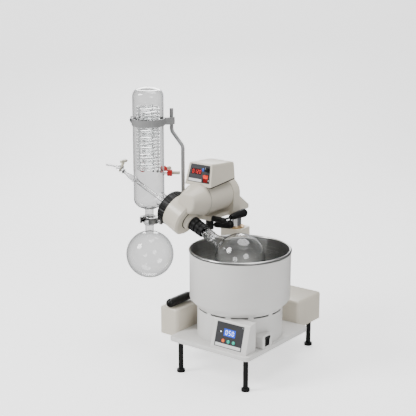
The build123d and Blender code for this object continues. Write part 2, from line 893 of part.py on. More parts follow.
up_button = bath_button(1)
up_button.part.label = "up_button"
export_step(up_button.part, "parts/up_button.step")

# Side box with the bath's mains switch
side_right = tray_right - side_box_inset
side_centre_y = box_foot_y + side_box_start + side_box_length / 2
side_centre_z = tray_height + side_box_height / 2
side_face = Plane(origin=(side_right, side_centre_y, side_centre_z), x_dir=(0, 1, 0), z_dir=(1, 0, 0))


def rocker_axle(plane):
    """The plane across a rocker's pin, which lies half way in behind the front plane."""
    return Plane(origin=plane.origin - plane.z_dir * (rocker_depth / 2), x_dir=plane.y_dir, z_dir=plane.x_dir)


with BuildPart() as switch_box:
    with BuildSketch(side_face):
        RectangleRounded(side_box_length, side_box_height, box_edge)
    extrude(amount=-side_right)
    with BuildSketch(Plane.XY.offset(tray_height)):
        Circle(pedestal_radius)
    extrude(amount=pedestal_height, mode=Mode.SUBTRACT)
    with BuildSketch(side_face):
        Rectangle(bath_rocker_width + 2 * seat_gap, bath_rocker_height + 2 * seat_gap)
    extrude(amount=-rocker_depth, mode=Mode.SUBTRACT)
    with BuildSketch(rocker_axle(side_face)):
        Circle(rocker_pin)
    extrude(amount=bath_rocker_width / 2 + seat_gap + rocker_pin_seat, both=True, mode=Mode.SUBTRACT)
switch_box.part.label = "switch_box"
export_step(switch_box.part, "parts/switch_box.step")


def rocker_key(plane, width, height):
    """A rocker: two slopes in front, a rounded back and a pin across it."""
    axle = rocker_axle(plane)
    front = rocker_depth / 2
    with BuildPart() as rocker:
        with BuildSketch(axle):
            with BuildLine():
                Polyline(
                    (-height / 2, 0),
                    (-height / 2, front - rocker_sink),
                    (0, front),
                    (height / 2 - rocker_sink, front + rocker_arc),
                    (height / 2, 0),
                )
                ThreePointArc((height / 2, 0), (0, rocker_back - front), (-height / 2, 0))
            make_face()
        extrude(amount=width / 2, both=True)
        with BuildSketch(axle):
            Circle(rocker_pin - running_fit)
        extrude(amount=width / 2 + rocker_pin_seat, both=True)
    return rocker


bath_rocker = rocker_key(side_face, bath_rocker_width, bath_rocker_height)
bath_rocker.part.label = "bath_rocker"
export_step(bath_rocker.part, "parts/bath_rocker.step")

# Evaporating flask: blown bulb and ground neck, hollow
with BuildPart() as evaporating_flask:
    inner_radius = flask_radius - glass_wall
    bore = neck_radius - glass_wall
    root_outer = sqrt(flask_radius**2 - (neck_radius + neck_flare) ** 2)
    bore_flare = bore + neck_flare - glass_wall / 2
    root_inner = sqrt(inner_radius**2 - bore_flare**2)
    with BuildSketch(drive_half):
        with BuildLine():
            ThreePointArc((0, -flask_radius), (flask_radius, 0), (neck_radius + neck_flare, root_outer))
            Line((neck_radius + neck_flare, root_outer), (neck_radius, neck_start))
            Line((neck_radius, neck_start), (neck_radius, neck_end))
            Line((neck_radius, neck_end), (bore, neck_end))
            Line((bore, neck_end), (bore, neck_start))
            Line((bore, neck_start), (bore_flare, root_inner))
            ThreePointArc((bore_flare, root_inner), (inner_radius, 0), (0, -inner_radius))
            Line((0, -inner_radius), (0, -flask_radius))
        make_face()
        for count in range(bead_count):
            with Locations((neck_radius - glass_wall / 2, neck_start + bead_first + bead_pitch * count)):
                Rectangle(glass_wall + 2 * bead_proud, bead_pitch / 2)
    revolve(axis=drive_axis)
evaporating_flask.part.label = "evaporating_flask"
export_step(evaporating_flask.part, "parts/evaporating_flask.step")

# Combination clip: two ribbed rings on one sleeve that draws the flask on to the drive
with BuildPart() as flask_clip:
    with BuildSketch(drive_half):
        with BuildLine():
            Polyline(
                (neck_radius + seat_gap, clip_start),
                (clip_radius - clip_bevel, clip_start),
                (clip_radius, clip_start + clip_bevel_length),
                (clip_radius, clip_mid - clip_groove),
                (clip_radius - clip_groove_depth, clip_mid - clip_groove / 2),
                (clip_radius - clip_groove_depth, clip_mid + clip_groove / 2),
                (clip_radius + clip_step, clip_mid + clip_groove),
                (clip_radius + clip_step, clip_end - clip_bevel_length),
                (clip_radius + clip_step - clip_bevel, clip_end),
                (nose_radius, clip_end),
                (nose_radius, nose_start),
                (neck_radius + seat_gap, nose_start),
                close=True,
            )
        make_face()
    revolve(axis=drive_axis)
flask_clip.part.label = "flask_clip"
export_step(flask_clip.part, "parts/flask_clip.step")

# Hollow drive hub with its nose in the clip
with BuildPart() as drive_hub:
    hub_end = gearcase_end - seat_gap
    hub_bore = duct_radius + seat_gap
    with BuildSketch(drive_half):
        with BuildLine():
            Polyline(
                (hub_bore, nose_start),
                (nose_radius, nose_start),
                (nose_radius, gearcase_start + gearcase_wall + hub_gap),
                (hub_radius, gearcase_start + gearcase_wall + hub_gap),
                (hub_radius, hub_end),
                (hub_bore, hub_end),
                close=True,
            )
        make_face()
    revolve(axis=drive_axis)
drive_hub.part.label = "drive_hub"
export_step(drive_hub.part, "parts/drive_hub.step")

# Vapour duct: a glass tube through the hub, coned where it meets the flask
with BuildPart() as vapour_duct:
    duct_bore = duct_radius - glass_wall
    cone_end = neck_end - cone_length
    with BuildSketch(drive_half):
        with BuildLine():
            Polyline(
                (duct_bore, cone_end),
                (cone_radius - cone_taper, cone_end),
                (cone_radius, neck_end),
                (duct_radius, neck_end + cone_step),
                (duct_radius, duct_end),
                (duct_bore, duct_end),
                close=True,
            )
        make_face()
    revolve(axis=drive_axis)
vapour_duct.part.label = "vapour_duct"
export_step(vapour_duct.part, "parts/vapour_duct.step")

# Worm wheel on the hub
with BuildPart() as worm_wheel:
    with BuildSketch(drive_plane(worm_place - wheel_width / 2)):
        Circle(wheel_radius)
        with PolarLocations(wheel_radius, wheel_teeth):
            Rectangle(2 * wheel_module, tooth_gap, mode=Mode.SUBTRACT)
        Circle(hub_radius, mode=Mode.SUBTRACT)
    extrude(amount=wheel_width)
worm_wheel.part.label = "worm_wheel"
export_step(worm_wheel.part, "parts/worm_wheel.step")

# Two ball bearings that carry the hub
wheel_end = worm_place + wheel_width / 2
bearing_starts = (wheel_end + bearing_gap, gearcase_end - gearcase_wall - bearing_width)
with BuildPart() as hub_bearings:
    for start in bearing_starts:
        with BuildSketch(drive_plane(start)):
            Circle(hub_radius + bearing_wall)
            Circle(hub_radius + running_fit, mode=Mode.SUBTRACT)
        extrude(amount=bearing_width)
        with BuildSketch(drive_plane(start)):
            Circle(hub_radius + bearing_wall - race_wall)
            Circle(hub_radius + race_wall, mode=Mode.SUBTRACT)
        extrude(amount=race_depth, mode=Mode.SUBTRACT)
hub_bearings.part.label = "hub_bearings"
export_step(hub_bearings.part, "parts/hub_bearings.step")

# Gear case: the drum on the drive line grown together with the dome over the worm
with BuildPart() as gear_case:
    with BuildSketch(drive_half):
        with BuildLine():
            Polyline(
                (0, gearcase_start),
                (gearcase_radius - gearcase_edge, gearcase_start),
                (gearcase_radius, gearcase_start + gearcase_edge),
                (gearcase_back_radius, gearcase_end),
                (0, gearcase_end),
                close=True,
            )
        make_face()
    revolve(axis=drive_axis)
    with BuildSketch(barrel_half) as dome:
        with BuildLine():
            Polyline(
                (0, dome_front),
                (dome_radius, dome_front),
                (barrel_radius, barrel_front - shoulder_drop),
                (barrel_radius, barrel_front),
                (0, barrel_front),
                close=True,
            )
        make_face()
        fillet(dome.vertices().group_by(Axis.X)[-1].sort_by(Axis.Y)[0], shoulder_round)
        fillet(dome.vertices().sort_by(Axis.Y)[:2].sort_by(Axis.X)[-1], dome_round)
    revolve(axis=barrel_axis)
    with BuildSketch(drive_plane(clip_start)):
        Circle(seal_radius + seat_gap)
    extrude(amount=gearcase_start - clip_start, mode=Mode.SUBTRACT)
    with BuildSketch(drive_plane(gearcase_start + gearcase_wall)):
        Circle(gearcase_back_radius - gearcase_wall)
    extrude(amount=wheel_end + seat_gap - gearcase_start - gearcase_wall, mode=Mode.SUBTRACT)
    with BuildSketch(drive_plane(gearcase_start)):
        Circle(nose_radius + seat_gap)
    extrude(amount=gearcase_wall, mode=Mode.SUBTRACT)
    with BuildSketch(drive_plane(wheel_end)):
        Circle(hub_radius + bearing_wall)
    extrude(amount=gearcase_end - gearcase_wall - wheel_end, mode=Mode.SUBTRACT)
    with BuildSketch(drive_plane(gearcase_end)):
        Circle(hub_radius + seat_gap)
    extrude(amount=-gearcase_wall, mode=Mode.SUBTRACT)
    with BuildSketch(barrel_plane(worm_front)):
        Circle(worm_radius + worm_room)
    extrude(amount=barrel_front - worm_front, mode=Mode.SUBTRACT)
    with BuildSketch(barrel_plane(worm_front - worm_seat)):
        Circle(worm_shaft_radius + running_fit)
    extrude(amount=worm_seat, mode=Mode.SUBTRACT)
gear_case.part.label = "gear_case"
export_step(gear_case.part, "parts/gear_case.step")

# Worm on its shaft, which is the motor's shaft
with BuildPart() as worm_shaft:
    ring_pitch = worm_length / worm_rings
    shaft_start = worm_front - worm_seat + seat_gap
    with BuildSketch(barrel_half):
        with BuildLine():
            outline = [(0, shaft_start), (worm_shaft_radius, shaft_start)]
            outline.append((worm_shaft_radius, -worm_length / 2))
            for count in range(worm_rings):
                low = -worm_length / 2 + count * ring_pitch
                outline.append((worm_radius - thread_depth, low))
                outline.append((worm_radius, low + ring_pitch * (1 - crest_share) / 2))
                outline.append((worm_radius, low + ring_pitch * (1 + crest_share) / 2))
            outline.append((worm_radius - thread_depth, worm_length / 2))
            outline.append((worm_shaft_radius, worm_length / 2))
            outline.append((worm_shaft_radius, motor_front + shaft_lap))
            outline.append((0, motor_front + shaft_lap))
            Polyline(*outline, close=True)
        make_face()
    revolve(axis=barrel_axis)
worm_shaft.part.label = "worm_shaft"
export_step(worm_shaft.part, "parts/worm_shaft.step")

# Front seal ring round the nose
with BuildPart() as front_seal:
    with BuildSketch(drive_plane(seal_start)):
        Circle(seal_radius)
        Circle(nose_radius + seat_gap, mode=Mode.SUBTRACT)
    extrude(amount=gearcase_start - seal_start)
    front_edges = front_seal.edges().sort_by(drive_axis)[0:2]
    chamfer(front_edges.sort_by(SortBy.RADIUS)[-1], seal_bevel)
front_seal.part.label = "front_seal"
export_step(front_seal.part, "parts/front_seal.step")

# Vapour seal between the hub and the condenser's port
with BuildPart() as vapour_seal:
    with BuildSketch(drive_plane(gearcase_end)):
        Circle(port_flange)
        Circle(duct_radius + seat_gap, mode=Mode.SUBTRACT)
    extrude(amount=vapour_seal_width)
vapour_seal.part.label = "vapour_seal"
export_step(vapour_seal.part, "parts/vapour_seal.step")

# Union nut that holds the condenser's port to the gear case
flange_start = gearcase_end + vapour_seal_width
nut_end = gearcase_end + nut_length
with BuildPart() as union_nut:
    with BuildSketch(drive_half):
        with BuildLine():
            Polyline(
                (port_flange + seat_gap, gearcase_end),
                (nut_radius, gearcase_end),
                (nut_radius, gearcase_end + nut_straight),
                (nut_radius - nut_taper, nut_end - nut_bevel),
                (nut_radius - nut_taper - nut_bevel, nut_end),
                (port_radius + seat_gap, nut_end),
                (port_radius + seat_gap, flange_start + flange_width + seat_gap),
                (port_flange + seat_gap, flange_start + flange_width + seat_gap),
                close=True,
            )
        make_face()
    revolve(axis=drive_axis)
    with BuildSketch(drive_plane(gearcase_end)):
        with PolarLocations(nut_radius + nut_flute_shift, nut_flutes):
            RegularPolygon(nut_flute_radius, 4)
    extrude(amount=nut_length, mode=Mode.SUBTRACT)
union_nut.part.label = "union_nut"
export_step(union_nut.part, "parts/union_nut.step")

# Motor barrel: a cup behind the seam, with a pivot behind for the bracket
with BuildPart() as motor_barrel:
    with BuildSketch(barrel_half):
        with BuildLine():
            Polyline(
                (0, barrel_back - barrel_wall),
                (barrel_radius - barrel_wall, barrel_back - barrel_wall),
                (barrel_radius - barrel_wall, barrel_front),
                (barrel_radius - seam_depth, barrel_front),
                (barrel_radius - seam_depth, barrel_front + seam_width),
                (barrel_radius, barrel_front + seam_width),
                (barrel_radius, barrel_back - barrel_edge),
            )
            RadiusArc(
                (barrel_radius, barrel_back - barrel_edge),
                (barrel_radius - barrel_edge, barrel_back),
                -barrel_edge,
            )
            Polyline(
                (barrel_radius - barrel_edge, barrel_back),
                (pivot_radius, barrel_back),
                (pivot_radius, barrel_back + pivot_length),
                (0, barrel_back + pivot_length),
                (0, barrel_back - barrel_wall),
            )
        make_face()
    revolve(axis=barrel_axis)
    with BuildSketch(drive_plane(gearcase_start - gearcase_wall)):
        Circle(gearcase_radius + seat_gap)
    extrude(amount=gearcase_end - gearcase_start + 2 * gearcase_wall, mode=Mode.SUBTRACT)
motor_barrel.part.label = "motor_barrel"
export_step(motor_barrel.part, "parts/motor_barrel.step")

# Drive motor inside the barrel
with BuildPart() as drive_motor:
    with BuildSketch(barrel_plane(motor_front)):
        Circle(motor_radius)
    extrude(amount=motor_length)
    chamfer(drive_motor.edges().filter_by(GeomType.CIRCLE), motor_bevel)
    with BuildSketch(barrel_plane(motor_front)):
        Circle(worm_shaft_radius + running_fit)
    extrude(amount=shaft_lap + seat_gap, mode=Mode.SUBTRACT)
    with BuildSketch(barrel_plane(barrel_back - barrel_wall)):
        Circle(motor_boss_radius)
    extrude(amount=motor_front + motor_length - barrel_back + barrel_wall)
drive_motor.part.label = "drive_motor"
export_step(drive_motor.part, "parts/drive_motor.step")

# Head control box: a wedge on the barrel, its face leaning back and its sides drawn in
control_foot_z = barrel_z + control_rise
control_lean = Vector(0, sin(radians(control_tilt)), cos(radians(control_tilt)))
control_out = Vector(0, -cos(radians(control_tilt)), sin(radians(control_tilt)))
face_length = control_height / cos(radians(control_tilt))
control_foot = Vector(barrel_x, control_front, control_foot_z)
control_origin = control_foot + control_lean * (face_length / 2 + face_rise)
control_face = Plane(origin=control_origin, x_dir=(1, 0, 0), z_dir=control_out)
control_back = control_front + control_length
control_side = (
    (control_front, control_foot_z),
    (control_front + control_height * tan(radians(control_tilt)), control_foot_z + control_height),
    (control_back, control_foot_z + control_height - control_top_fall),
    (control_back, control_foot_z + control_back_rise),
)
side_draw = (control_width - control_top_width) / 2 / control_height


def control_solid(inset):
    """The control box's wedge, drawn in by the inset all round but below."""
    with BuildPart() as wedge:
        with BuildSketch(Plane.YZ.offset(barrel_x)):
            with BuildLine():
                Polyline(*control_side, close=True)
            make_face()
            if inset:
                offset(amount=-inset)
        extrude(amount=control_width / 2 - inset, both=True)
        for side in (-1, 1):
            wall = Plane(
                origin=(barrel_x + side * (control_width / 2 - inset), 0, control_foot_z),
                x_dir=(0, 1, 0),
                z_dir=(side, 0, side_draw),
            )
            split(bisect_by=wall, keep=Keep.BOTTOM)
    return wedge


control_shape = control_solid(0)
control_room = control_solid(control_wall)
with BuildPart() as control_box:
    add(control_shape.part)
    top_edges = control_box.faces().sort_by(Axis.Z)[-1].edges()
    fillet(top_edges, control_edge)
    add(control_room.part, mode=Mode.SUBTRACT)
    with BuildSketch(barrel_plane(control_front - control_wall)):
        Circle(barrel_radius + seat_gap)
    extrude(amount=control_length + 2 * control_wall, mode=Mode.SUBTRACT)
    with BuildSketch(control_face):
        with BuildLine():
            Polyline(
                (-face_top_width / 2, face_height / 2),
                (face_top_width / 2, face_height / 2),
                (face_bottom_width / 2, -face_height / 2),
                (-face_bottom_width / 2, -face_height / 2),
                close=True,
            )
        make_face()
    extrude(amount=-control_wall, mode=Mode.SUBTRACT)
control_box.part.label = "control_box"
export_step(control_box.part, "parts/control_box.step")

# Head panel: a dark plate with windows for the display, knob and button, and the rocker's frame
rocker_seat = shifted(control_face, rocker_right, -rocker_drop)
with BuildPart() as control_panel:
    with BuildSketch(control_face.offset(-control_wall)):
        with BuildLine():
            Polyline(
                (-face_top_width / 2, face_height / 2),
                (face_top_width / 2, face_height / 2),
                (face_bottom_width / 2, -face_height / 2),
                (-face_bottom_width / 2, -face_height / 2),
                close=True,
            )
        make_face()
        with Locations((display_left, display_rise)):
            Rectangle(display_width, display_height, mode=Mode.SUBTRACT)
        with Locations((button_right, button_rise)):
            Circle(button_radius + seat_gap, mode=Mode.SUBTRACT)
        with Locations((knob_right, knob_rise)):
            Circle(knob_spindle_radius + running_fit, mode=Mode.SUBTRACT)
        with Locations((rocker_right, -rocker_drop)):
            Rectangle(rocker_width + 2 * seat_gap, rocker_height + 2 * seat_gap, mode=Mode.SUBTRACT)
    extrude(amount=control_wall - seat_gap)
    with BuildSketch(rocker_seat.offset(-rocker_depth)):
        for side_gap, mode in ((seat_gap + rocker_frame, Mode.ADD), (seat_gap, Mode.SUBTRACT)):
            Rectangle(rocker_width + 2 * side_gap, rocker_height + 2 * side_gap, mode=mode)
    extrude(amount=rocker_depth - control_wall)
    with BuildSketch(rocker_axle(rocker_seat)):
        Circle(rocker_pin)
    extrude(amount=rocker_width / 2 + seat_gap + rocker_pin_seat, both=True, mode=Mode.SUBTRACT)
control_panel.part.label = "control_panel"
export_step(control_panel.part, "parts/control_panel.step")

with BuildPart() as speed_display:
    with BuildSketch(control_face.offset(-control_wall)):
        with Locations((display_left, display_rise)):
            Rectangle(display_width, display_height)
    extrude(amount=control_wall - 2 * seat_gap)
speed_display.part.label = "speed_display"
export_step(speed_display.part, "parts/speed_display.step")

knob_plane = shifted(control_face, knob_right, knob_rise)
with BuildPart() as speed_knob:
    with BuildSketch(upright(knob_plane)):
        with BuildLine():
            Polyline(
                (0, -control_wall - knob_spindle),
                (knob_spindle_radius, -control_wall - knob_spindle),
                (knob_spindle_radius, seat_gap),
                (knob_radius, seat_gap),
                (knob_radius - knob_taper, knob_height - knob_bevel),
                (knob_radius - knob_taper - knob_bevel, knob_height),
                (0, knob_height),
                close=True,
            )
        make_face()
    revolve(axis=Axis(knob_plane.origin, knob_plane.z_dir))
speed_knob.part.label = "speed_knob"
export_step(speed_knob.part, "parts/speed_knob.step")

button_plane = shifted(control_face, button_right, button_rise)
start_button = push_button(button_plane, control_wall, button_radius, button_proud)
start_button.part.label = "start_button"
export_step(start_button.part, "parts/start_button.step")

power_rocker = rocker_key(rocker_seat, rocker_width, rocker_height)
power_rocker.part.label = "power_rocker"
export_step(power_rocker.part, "parts/power_rocker.step")

# Tilt lock lever: a clamp screw across the cradle with a rod and grip
tilt_z = cradle_bottom + cradle_depth / 2
cradle_side = column_x + bracket_width / 2
with BuildPart() as tilt_lever:
    with BuildSketch(Plane.YZ.offset(cradle_side + seat_gap)):
        with Locations((tilt_hub_y, tilt_z)):
            Circle(hub_size)
    extrude(amount=tilt_hub_x + hub_size - cradle_side - seat_gap)
    with BuildSketch(Plane.XZ.offset(-tilt_hub_y)):
        with Locations((tilt_hub_x, tilt_z)):
            Circle(lever_rod_radius)
    extrude(amount=-lever_reach - lever_rod_lap)
tilt_lever.part.label = "tilt_lever"
export_step(tilt_lever.part, "parts/tilt_lever.step")


def lever_handle(plane, length):
    """A round grip with a waist at its root and a rounded end, along the plane's normal."""
    with BuildPart() as handle:
        with BuildSketch(upright(plane)):
            with BuildLine():
                Polyline(
                    (0, length),
                    (0, 0),
                    (lever_root_radius, 0),
                    (lever_waist_radius, lever_waist_length),
                    (lever_grip_radius, length - lever_grip_radius),
                )
                RadiusArc((lever_grip_radius, length - lever_grip_radius), (0, length), -lever_grip_radius)
            make_face()
        revolve(axis=Axis(plane.origin, plane.z_dir))
        with BuildSketch(plane):
            Circle(lever_rod_radius)
        extrude(amount=lever_rod_lap + seat_gap, mode=Mode.SUBTRACT)
    return handle


tilt_plane = Plane(origin=(tilt_hub_x, tilt_hub_y + lever_reach, tilt_z), x_dir=(1, 0, 0), z_dir=(0, 1, 0))
tilt_grip = lever_handle(tilt_plane, lever_grip_length)
tilt_grip.part.label = "tilt_grip"
export_step(tilt_grip.part, "parts/tilt_grip.step")

# Lift lock lever: it turns about an upright screw under the cradle
lock_dir = Vector(cos(radians(lock_angle)), sin(radians(lock_angle)), 0)
lock_z = cradle_bottom - lever_grip_radius - lock_drop
lock_plane = Plane(origin=(lock_hub_x, lock_hub_y, lock_z), x_dir=(0, 0, 1), z_dir=lock_dir)
with BuildPart() as lock_lever:
    with BuildSketch(Plane.XY.offset(lock_z - lock_hub_size)):
        with Locations((lock_hub_x, lock_hub_y)):
            Circle(lock_hub_size)
    extrude(amount=cradle_bottom - seat_gap - lock_z + lock_hub_size)
    with BuildSketch(lock_plane):
        Circle(lever_rod_radius)
    extrude(amount=lock_reach + lever_rod_lap)
lock_lever.part.label = "lock_lever"
export_step(lock_lever.part, "parts/lock_lever.step")

lock_grip = lever_handle(lock_plane.offset(lock_reach), lock_grip_length)
lock_grip.part.label = "lock_grip"
export_step(lock_grip.part, "parts/lock_grip.step")


def tube_wall(start, end, outer, inner):
    """A tube along the drive line between two distances."""
    with BuildPart() as tube:
        with BuildSketch(drive_plane(start)):
            Circle(outer)
            if inner:
                Circle(inner, mode=Mode.SUBTRACT)
        extrude(amount=end - start)
    return tube


# Condenser jacket: a domed tube with a port to the drive, a tail, hose ports and a ball joint
flange_tube = tube_wall(flange_start, condenser_reach, port_radius, 0)
flange_ring = tube_wall(flange_start, flange_start + flange_width, port_flange, 0)
flange_bore = tube_wall(flange_start, condenser_reach, port_radius - glass_wall, 0)
feed_hole_outer = tube_wall(condenser_reach, feed_wall + feed_boss, feed_radius + feed_boss_wall, 0)
feed_hole = tube_wall(condenser_reach, feed_wall + feed_boss, feed_radius + seat_gap, 0)


def jacket_solid(inset):
    """The jacket's body of revolution, drawn in by the inset."""
    radius = condenser_radius - inset
    top = condenser_top - inset
    low = condenser_bottom + inset
    tail = tail_radius - inset
    ball = ball_radius - inset
    mouth = ball_mouth - inset
    mouth_height = ball_height - sqrt(ball_radius**2 - ball_mouth**2)
    ball_root = ball_height - sqrt(ball**2 - mouth**2)
    tail_root = ball_height + sqrt(ball**2 - tail**2)
    rim = top - crown_drop
    crown_radius = (radius**2 + crown_drop**2) / (2 * crown_drop)
    with BuildPart() as solid:
        with BuildSketch(condenser_half) as profile:
            with BuildLine():
                Line((0, mouth_height), (mouth, mouth_height))
                if inset:
                    Line((mouth, mouth_height), (mouth, ball_root))
                ThreePointArc((mouth, ball_root), (ball, ball_height), (tail, tail_root))
                Polyline((tail, tail_root), (tail, low), (radius, low + bottom_rise), (radius, rim))
                RadiusArc((radius, rim), (0, top), -crown_radius)
                Line((0, top), (0, mouth_height))
            make_face()
            fillet(profile.vertices().group_by(Axis.X)[-1].sort_by(Axis.Y)[0], bottom_round - inset)
            fillet(profile.vertices().group_by(Axis.X)[-1].sort_by(Axis.Y)[-1], crown_round - inset)
        revolve(axis=condenser_axis)
    return solid


jacket_outer = jacket_solid(0)
jacket_room = jacket_solid(condenser_wall)
port_planes = [
    Plane(
        origin=(condenser_x, 0, port_height),
        x_dir=(0, 0, 1),
        z_dir=(cos(radians(angle)), sin(radians(angle)), 0),
    )
    for angle in port_angles
]
with BuildPart() as condenser_jacket:
    add(jacket_outer.part)
    add(flange_tube.part)
    add(flange_ring.part)
    add(feed_hole_outer.part)
    for plane in port_planes:
        with BuildSketch(plane):
            Circle(port_tube)
        extrude(amount=condenser_radius + port_reach)
    add(jacket_room.part, mode=Mode.SUBTRACT)
    add(flange_bore.part, mode=Mode.SUBTRACT)
    add(feed_hole.part, mode=Mode.SUBTRACT)
    for plane in port_planes:
        with BuildSketch(plane.offset(condenser_radius - 2 * condenser_wall)):
            Circle(port_tube - glass_wall)
        extrude(amount=port_reach + 2 * condenser_wall, mode=Mode.SUBTRACT)
condenser_jacket.part.label = "condenser_jacket"
export_step(condenser_jacket.part, "parts/condenser_jacket.step")


# Cooling coil: two close coils of glass tube, one ridge for each turn, on a collar that the ports feed
def ridged_column(radius, pitch, turns):
    """The points of a close coil's profile, from its foot to its top."""
    points = [(radius - coil_tube, port_height), (radius, port_height)]
    for count in range(turns):
        low = coil_bottom + count * pitch
        points.append((radius, low))
        points.append((radius + coil_tube, low + pitch / 2))
    points.append((radius, coil_bottom + turns * pitch))
    points.append((radius - coil_tube, coil_bottom + turns * pitch))
    return points


with BuildPart() as cooling_coil:
    with BuildSketch(condenser_half):
        for radius, pitch, turns in (
            (coil_radius, coil_pitch, coil_turns),
            (inner_coil_radius, coil_pitch * 2, coil_turns // 2),
        ):
            with BuildLine():
                Polyline(*ridged_column(radius, pitch, turns), close=True)
            make_face()
    revolve(axis=condenser_axis)
    with BuildSketch(Plane.XY.offset(port_height - riser_radius)):
        with Locations((condenser_x, 0)):
            Circle(coil_radius)
            Circle(inner_coil_radius - coil_tube, mode=Mode.SUBTRACT)
    extrude(amount=2 * riser_radius)
    for plane in port_planes[:2]:
        with BuildSketch(plane.offset(coil_radius - coil_tube)):
            Circle(riser_radius)
        extrude(amount=condenser_radius - condenser_wall - seat_gap - coil_radius + coil_tube)
cooling_coil.part.label = "cooling_coil"
export_step(cooling_coil.part, "parts/cooling_coil.step")

# Hose caps and barbs on the ports
cap_start = condenser_radius + port_reach - cap_lap
with BuildPart() as hose_caps:
    for plane in port_planes:
        with BuildSketch(plane.offset(cap_start)):
            RegularPolygon(cap_radius, cap_sides)
            Circle(port_tube, mode=Mode.SUBTRACT)
        extrude(amount=condenser_radius + port_reach - cap_start)
        with BuildSketch(plane.offset(condenser_radius + port_reach)):
            RegularPolygon(cap_radius, cap_sides)
            Circle(barb_radius, mode=Mode.SUBTRACT)
        extrude(amount=cap_start + cap_length - condenser_radius - port_reach)
hose_caps.part.label = "hose_caps"
export_step(hose_caps.part, "parts/hose_caps.step")

with BuildPart() as hose_barbs:
    for plane in port_planes:
        with BuildSketch(plane.offset(condenser_radius + port_reach)):
            Circle(barb_radius)
        extrude(amount=cap_start + cap_length - condenser_radius - port_reach)
        barb_foot = plane.offset(cap_start + cap_length)
        for count in range(barb_count):
            with BuildSketch(barb_foot.offset(count * barb_length / barb_count)):
                Circle(barb_radius + barb_rise)
            extrude(amount=barb_length / barb_count, taper=barb_taper)
        with BuildSketch(plane.offset(condenser_radius + port_reach)):
            Circle(barb_radius / 2)
        extrude(amount=barb_length + cap_length, mode=Mode.SUBTRACT)
hose_barbs.part.label = "hose_barbs"
export_step(hose_barbs.part, "parts/hose_barbs.step")

# Receiving flask with the cup of its ball joint
cup_inner = ball_radius + seat_gap
cup_outer = cup_inner + glass_wall
cup_rim = ball_height - cup_rim_drop


def ball_level(radius, across):
    """How far below the joint's centre a ball of this radius is this wide."""
    return sqrt(radius**2 - across**2)


with BuildPart() as receiving_flask:
    bulb_inner = flask_radius - glass_wall
    neck_bore = receiver_neck - glass_wall
    bulb_top = receiver_height + ball_level(flask_radius, receiver_neck)
    bulb_bore = receiver_height + ball_level(bulb_inner, neck_bore)
    cup_root = ball_height - ball_level(cup_outer, receiver_neck)
    cup_seat = ball_height - ball_level(cup_inner, neck_bore)
    rim_outer = ball_level(cup_outer, cup_rim_drop)
    rim_inner = ball_level(cup_inner, cup_rim_drop)
    with BuildSketch(condenser_half):
        with BuildLine():
            ThreePointArc(
                (0, receiver_height - flask_radius),
                (flask_radius, receiver_height),
                (receiver_neck, bulb_top),
            )
            Line((receiver_neck, bulb_top), (receiver_neck, cup_root))
            RadiusArc((receiver_neck, cup_root), (rim_outer, cup_rim), -cup_outer)
            Line((rim_outer, cup_rim), (rim_inner, cup_rim))
            RadiusArc((rim_inner, cup_rim), (neck_bore, cup_seat), cup_inner)
            Line((neck_bore, cup_seat), (neck_bore, bulb_bore))
            ThreePointArc(
                (neck_bore, bulb_bore), (bulb_inner, receiver_height), (0, receiver_height - bulb_inner)
            )
            Line((0, receiver_height - bulb_inner), (0, receiver_height - flask_radius))
        make_face()
    revolve(axis=condenser_axis)
receiving_flask.part.label = "receiving_flask"
export_step(receiving_flask.part, "parts/receiving_flask.step")

# Fork clamp on the ball joint, with its screw
with BuildPart() as joint_clamp:
    clamp_low = ball_height - joint_clamp_height / 2
    clamp_high = ball_height + joint_clamp_height / 2 - joint_clamp_plate
    clamp_outer = joint_clamp_radius + joint_clamp_wall
    lower_hole = ball_level(cup_outer, joint_clamp_height / 2 - joint_clamp_plate) + seat_gap
    upper_hole = ball_level(ball_radius, joint_clamp_height / 2 - joint_clamp_plate) + seat_gap
    for bottom, height, hole in (
        (clamp_low, joint_clamp_height, joint_clamp_radius),
        (clamp_low, joint_clamp_plate, lower_hole),
        (clamp_high, joint_clamp_plate, upper_hole),
    ):
        with BuildSketch(Plane.XY.offset(bottom)):
            with Locations((condenser_x, 0)):
                Circle(clamp_outer)
                Circle(hole, mode=Mode.SUBTRACT)
            with Locations((condenser_x, -clamp_outer)):
                Rectangle(joint_clamp_mouth, 2 * clamp_outer, mode=Mode.SUBTRACT)
        extrude(amount=height)
    screw_root = condenser_x + clamp_outer - joint_clamp_wall / 2
    for start, radius, length in (
        (screw_root, clamp_screw_radius, clamp_screw_length),
        (screw_root + clamp_screw_length, clamp_nut_radius, clamp_nut_length),
    ):
        with BuildSketch(Plane.YZ.offset(start)):
            with Locations((0, ball_height)):
                Circle(radius)
        extrude(amount=length)
joint_clamp.part.label = "joint_clamp"
export_step(joint_clamp.part, "parts/joint_clamp.step")

# Support rod: bent twice, from the holder on the barrel to the band
rod_upper_x = rod_x - rod_shift
with BuildPart() as support_rod:
    with BuildLine():
        FilletPolyline(
            (rod_x, rod_y, rod_low),
            (rod_x, rod_y, rod_knee),
            (rod_upper_x, rod_y, rod_knee + rod_shift),
            (rod_upper_x, rod_y, rod_top),
            radius=rod_corner,
        )
    with BuildSketch(Plane.XY.offset(rod_low)):
        with Locations((rod_x, rod_y)):
            Circle(rod_radius)
    sweep()
support_rod.part.label = "support_rod"
export_step(support_rod.part, "parts/support_rod.step")

